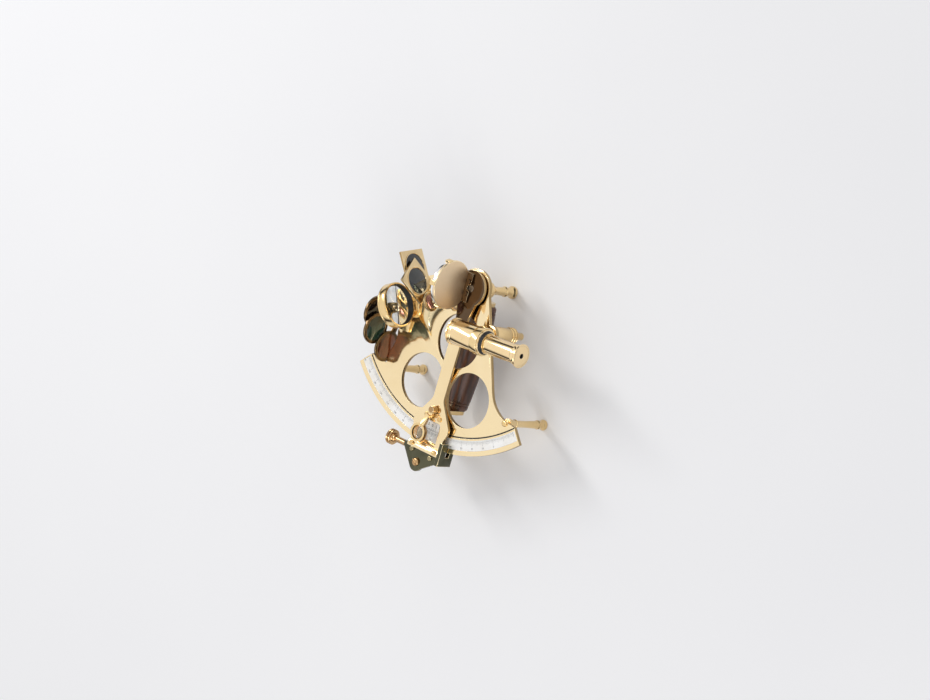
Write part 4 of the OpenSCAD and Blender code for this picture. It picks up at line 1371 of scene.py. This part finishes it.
@dataclass
class ReadingLens(SubAssembly):
    """The reading lens that swings over the vernier."""

    middle: tuple[float, float] = (-8.0, -156.0)
    radius: float = 7.3
    bottom: float = 72.4
    rim_low: float = 73.0
    rim_high: float = 73.4
    dome: float = 1.5
    foot_share: float = 0.6
    pole_r: float = 0.02
    steps: int = 9

    def build(self) -> None:
        """Builds the pivot, the arm with its ring, and the lens."""
        self.ease("magnifier_pivot", BROWN, 0.3, 3)
        # The arm's narrow sides take the brown: a painted shade
        self.ease("magnifier_arm", POLISH, 0.45, 3, others=(BROWN,), paint=dull_sides)
        rows = [(self.radius * self.foot_share, self.bottom),
                (self.radius - self.pole_r, self.rim_low)]
        for i in range(1, self.steps + 1):
            turn = i / self.steps * math.pi / 2
            rows.append((self.radius * math.cos(turn) + self.pole_r,
                         self.rim_high + self.dome * math.sin(turn)))
        self.turned("magnifier_lens", "reading_lens_domed", Axis((*self.middle, 0.0)), rows, CLEAR,
                    sides=64)


@dataclass
class ClampAndTangent(SubAssembly):
    """The clamp on the limb, its screw, and the tangent screw with its nut and knob."""

    clamp_y: float = -160.0
    pitch: float = 1.0
    thread: tuple[float, float] = (-21.5, 14.5)
    thread_r: tuple[float, float] = (2.0, 1.72)
    clamp_rows: tuple[Row, ...] = (
        (6.9, 39.5), (7.6, 39.9), *band(8.0, 40.5, 45.5, 0.45), (7.5, 46.2), (5.0, 46.5),
        (4.5, 47.0), (4.5, 49.2), (4.1, 49.5), (2.5, 49.5), (2.5, 54.6), (2.1, 55.05))
    collar_rows: tuple[Row, ...] = (
        (1.7, -50.0), (2.0, -49.7), (2.0, -47.0), (3.3, -47.0), (3.3, -28.3), (2.0, -28.3),
        (2.0, -23.7), (3.3, -23.7), (3.3, -22.2), (2.0, -22.2))
    tip_rows: tuple[Row, ...] = ((2.0, 14.8), (2.0, 20.1), (1.6, 20.5))
    knob_rows: tuple[Row, ...] = (
        (4.6, -47.0), (5.0, -47.4), (5.0, -49.6), (5.6, -50.3), (7.6, -50.5),
        *band(8.0, -50.9, -52.5, 0.3, 0.1), (7.1, -52.8), (7.1, -53.3),
        *band(8.0, -53.6, -55.5, 0.3, 0.1), (7.6, -56.0), (6.8, -56.0), (6.4, -55.7),
        (6.3, -55.2), (3.0, -55.2), (2.4, -55.6), (0.02, -55.6))

    def build(self) -> None:
        """Builds the clamp and both screws."""
        for node in ("clamp_bridge", "clamp_shoe", "tangent_nut"):
            self.ease(node, POLISH, 0.3)
        self.turned("clamp_screw", "clamp_screw_knurled", Axis((0, self.clamp_y, 0)),
                    self.clamp_rows, UPRIGHT)
        start, end = self.thread
        crest, root = self.thread_r
        rows = list(self.collar_rows)
        for i in range(int((end - start) / self.pitch)):
            reach = start + i * self.pitch
            rows += [(crest, reach), (root, reach + self.pitch / 2)]
        rows += self.tip_rows
        axis = Axis((0, TANGENT_Y, TANGENT_Z), (1, 0, 0))
        self.turned("tangent_screw", "tangent_screw_threaded", axis, rows, CROSSWAYS, sides=40)
        self.turned("tangent_knob", "tangent_knob_milled", axis, self.knob_rows, CROSSWAYS)


# Telescope


@dataclass
class Telescope(SubAssembly):
    """The telescope on its rising stem."""

    axis: Axis = Axis((50.3, -40.0, MIRROR_Z), TELESCOPE_AXIS)
    stem_at: tuple[float, float] = (35.2, -36.4)
    shoulder: tuple[float, float] = (6.3, 9.9)
    shoulder_out: float = 0.1
    objective: tuple[float, float, float] = (-35.8, -33.0, 11.9)
    eye: tuple[float, float, float] = (48.0, 50.5, 7.4)
    bulge: float = 0.7
    pole_r: float = 0.02
    lens_angles: tuple[float, ...] = (10, 26, 42, 58, 74, 90)
    nut_rows: tuple[Row, ...] = (
        (4.04, 25.7), (7.4, 25.7), (8.1, 26.0), *band(8.5, 26.6, 29.2, 0.45), (8.1, 29.5),
        (8.1, 29.9), *band(8.5, 30.2, 32.8, 0.45), (8.1, 33.4), (7.4, 33.7), (4.04, 33.7),
        (4.04, 25.7))
    body_rows: tuple[Row, ...] = (
        (10.6, -37), (13.3, -37), *band(13.7, -36.7, -35.2, 0.25, 0.1), (13.5, -35.0),
        (12.7, -34.9), (12.7, -34.2), (13.1, -33.9), (13.1, -33.3), (12.7, -33.0), (13.2, -32.9),
        (13.2, -31.2), (12.95, -31.0), (12.95, -30.7), (13.2, -30.5), (13.2, 5.6), (13.0, 6.0),
        (12.2, 6.2), (12.0, 6.8), (12.0, 7.6), (11.4, 8.0), (11.0, 9.6), (10.7, 10), (9.84, 10),
        (9.84, -3), (11.9, -3), (11.9, -35.8), (10.6, -35.8), (10.6, -37))
    draw_rows: tuple[Row, ...] = (
        (8.8, -18), (9.6, -18), (9.8, -17.6), (9.8, 46.2), (10.15, 46.7), (10.15, 47.7),
        (9.8, 48.2), (9.8, 50.2), (10.6, 51.4), (10.9, 52), (8.8, 52), (8.8, -18))
    cap_rows: tuple[Row, ...] = (
        (1.9, 47), (8.8, 47), (8.8, 52), (11.7, 52), (12.1, 52.4), (12.1, 53.1), (11.6, 53.6),
        (10.5, 53.6), (10.3, 53.45), (9.9, 53.45), (9.7, 53.6), (2.6, 53.6), (1.9, 52.9),
        (1.9, 47))

    def build(self) -> None:
        """Builds the socket, the stem, the nut, the tubes and the lenses."""
        self.ease("telescope_socket", UPRIGHT, 0.6, 3)
        self.ease("rising_stem", POLISH, 0.35, 3)
        self.turned("rising_nut", "rising_nut_knurled", Axis((*self.stem_at, 0)), self.nut_rows,
                    UPRIGHT, hollow=True)
        body = self.turned("telescope_tube", "telescope_body", self.axis, self.body_rows, TUBE,
                           LAMPBLACK_AND_PAINTED_SHADE, sides=144, hollow=True, ease=0.1)
        # The shoulder's outward faces are blackened too: a painted dark reflection
        Lathe(self.axis).mark(
            body, LINING_SLOT, lambda reach, away: away > self.shoulder_out and (
                self.shoulder[0] < reach < self.shoulder[1]))
        self.turned("draw_tube", "draw_tube_turned", self.axis, self.draw_rows, TUBE, LAMPBLACK_AND_PAINTED_SHADE,
                    sides=128, hollow=True, ease=0.1)
        self.turned("eyepiece_cap", "eyepiece_flange", self.axis, self.cap_rows, TUBE, LAMPBLACK_AND_PAINTED_SHADE,
                    hollow=True, ease=0.06)
        self._lens("objective_lens", self.objective)
        self._lens("eye_lens", self.eye)

    def _lens(self, node: str, size: tuple[float, float, float]) -> None:
        """Turns a lens with two domed faces.

        Args:
            node: the node that it stands for.
            size: where it starts and ends along the axis, and its radius.
        """
        start, end, radius = size
        dome = (end - start) / 2 * self.bulge
        rows = []
        for angle in self.lens_angles:
            cos, sin = heading(angle)
            rows.append((radius * sin + self.pole_r, start + dome * (1 - cos)))
        rows += [(row[0], start + end - row[1]) for row in reversed(rows)]
        self.turned(node, node + "_domed", self.axis, rows, CLEAR, sides=64)


# Studio


@dataclass(frozen=True)
class Lamp:
    """A soft oblong lamp that looks at the instrument."""

    name: str
    place: Point
    size: tuple[float, float]
    power: float
    aim: Point = (0.0, -0.08, 0.06)

    def hang(self) -> None:
        """Hangs the lamp; its place is in metres and its power in watts."""
        data = bpy.data.lights.new(self.name, "AREA")
        data.shape = "RECTANGLE"
        data.size, data.size_y = self.size
        data.energy = self.power
        lamp = link(self.name, data)
        lamp.location = self.place
        way = Vector(self.aim) - Vector(self.place)
        lamp.rotation_euler = way.to_track_quat("-Z", "Y").to_euler()


@dataclass
class Studio:
    """The pale floor, the soft light and the camera."""

    eye: Point = (1.6937, 0.4094, 2.1342)
    right: Point = (0.71686, 0.27571, -0.64039)
    up: Point = (-0.30785, 0.94927, 0.06409)
    back: Point = (0.62557, 0.15120, 0.76537)
    lens: float = 104.52
    sensor: float = 36.0
    shift: tuple[float, float] = (-0.00978, -0.06597)
    floor_r: float = 6.0
    floor_tones: tuple[Colour, Colour] = ((0.93, 0.93, 0.93), (0.89, 0.89, 0.90))
    surround: Colour = (0.98, 0.98, 1.0)
    low_band: tuple[float, float] = (0.15, 0.42)
    gleam: tuple[float, float] = (0.03, 1.02)
    level: tuple[float, float] = (0.64, 1.0)
    lamps: tuple[Lamp, ...] = (Lamp("key", (-1.45, 0.65, 1.80), (0.40, 1.5), 18.0),
                               Lamp("fill", (1.6, -1.6, 1.5), (1.0, 1.0), 12.0))

    def build(self) -> None:
        """Builds the floor, the world, the lamps and the camera."""
        self._floor()
        self._world()
        for lamp in self.lamps:
            lamp.hang()
        self._camera()

    def _floor(self) -> None:
        """Lays the round floor."""
        clear_selection()
        bpy.ops.mesh.primitive_circle_add(vertices=128, radius=self.floor_r, fill_type="NGON")
        floor = bpy.context.object
        floor.name = "studio_floor"
        made = bpy.data.materials.new("studio_floor")
        graph = Graph(made)
        cloud = graph.noise(graph.place(), 3.0, 2.0)
        tone = graph.blend(cloud, *self.floor_tones)
        graph.surface(Base_Color=tone, Roughness=0.55, Specular_IOR_Level=0.2)
        floor.data.materials.append(made)

    def _world(self) -> None:
        """A pale surround, with a darker band low down that the metal mirrors."""
        world = bpy.data.worlds.new("studio")
        bpy.context.scene.world = world
        graph = Graph(world)
        rays = [graph.add("ShaderNodeLightPath", output=name)
                for name in ("Is Camera Ray", "Is Glossy Ray", "Is Transmission Ray")]
        seen = rays[0] + rays[1] + rays[2]
        direction = graph.add("ShaderNodeTexCoord", output="Generated")
        height = graph.along(direction, (0.0, 0.0, 1.0))
        gleam = graph.limits(height, *self.low_band, self.gleam)
        shown = (1.0 - rays[1]) + rays[1] * gleam
        strength = graph.limits(seen, 0.0, 1.0, self.level) * shown
        light = graph.add("ShaderNodeBackground", {"Color": self.surround, "Strength": strength})
        graph.finish("ShaderNodeOutputWorld", light)

    def _camera(self) -> None:
        """Sets the camera as it was fitted to the instrument."""
        data = bpy.data.cameras.new("camera")
        data.lens = self.lens
        data.sensor_width = self.sensor
        data.shift_x, data.shift_y = self.shift
        camera = link("camera", data)
        columns = Matrix((self.right, self.up, self.back)).transposed().to_4x4()
        camera.matrix_world = Matrix.Translation(self.eye) @ columns
        bpy.context.scene.camera = camera


def main() -> None:
    """Builds every sub-assembly in order."""
    logging.basicConfig(level=logging.INFO, format="%(name)s: %(message)s")
    clear_selection()
    bpy.context.scene.view_settings.view_transform = "Standard"
    for assembly in (FramePlate, Scale, Handle, HorizonMirror, IndexMirror, IndexShades,
                     HorizonShades, IndexArm, ReadingLens, ClampAndTangent, Telescope):
        assembly().build()
        log.info("done %s", assembly.__name__)
    Studio().build()


if __name__ == "__main__":
    main()
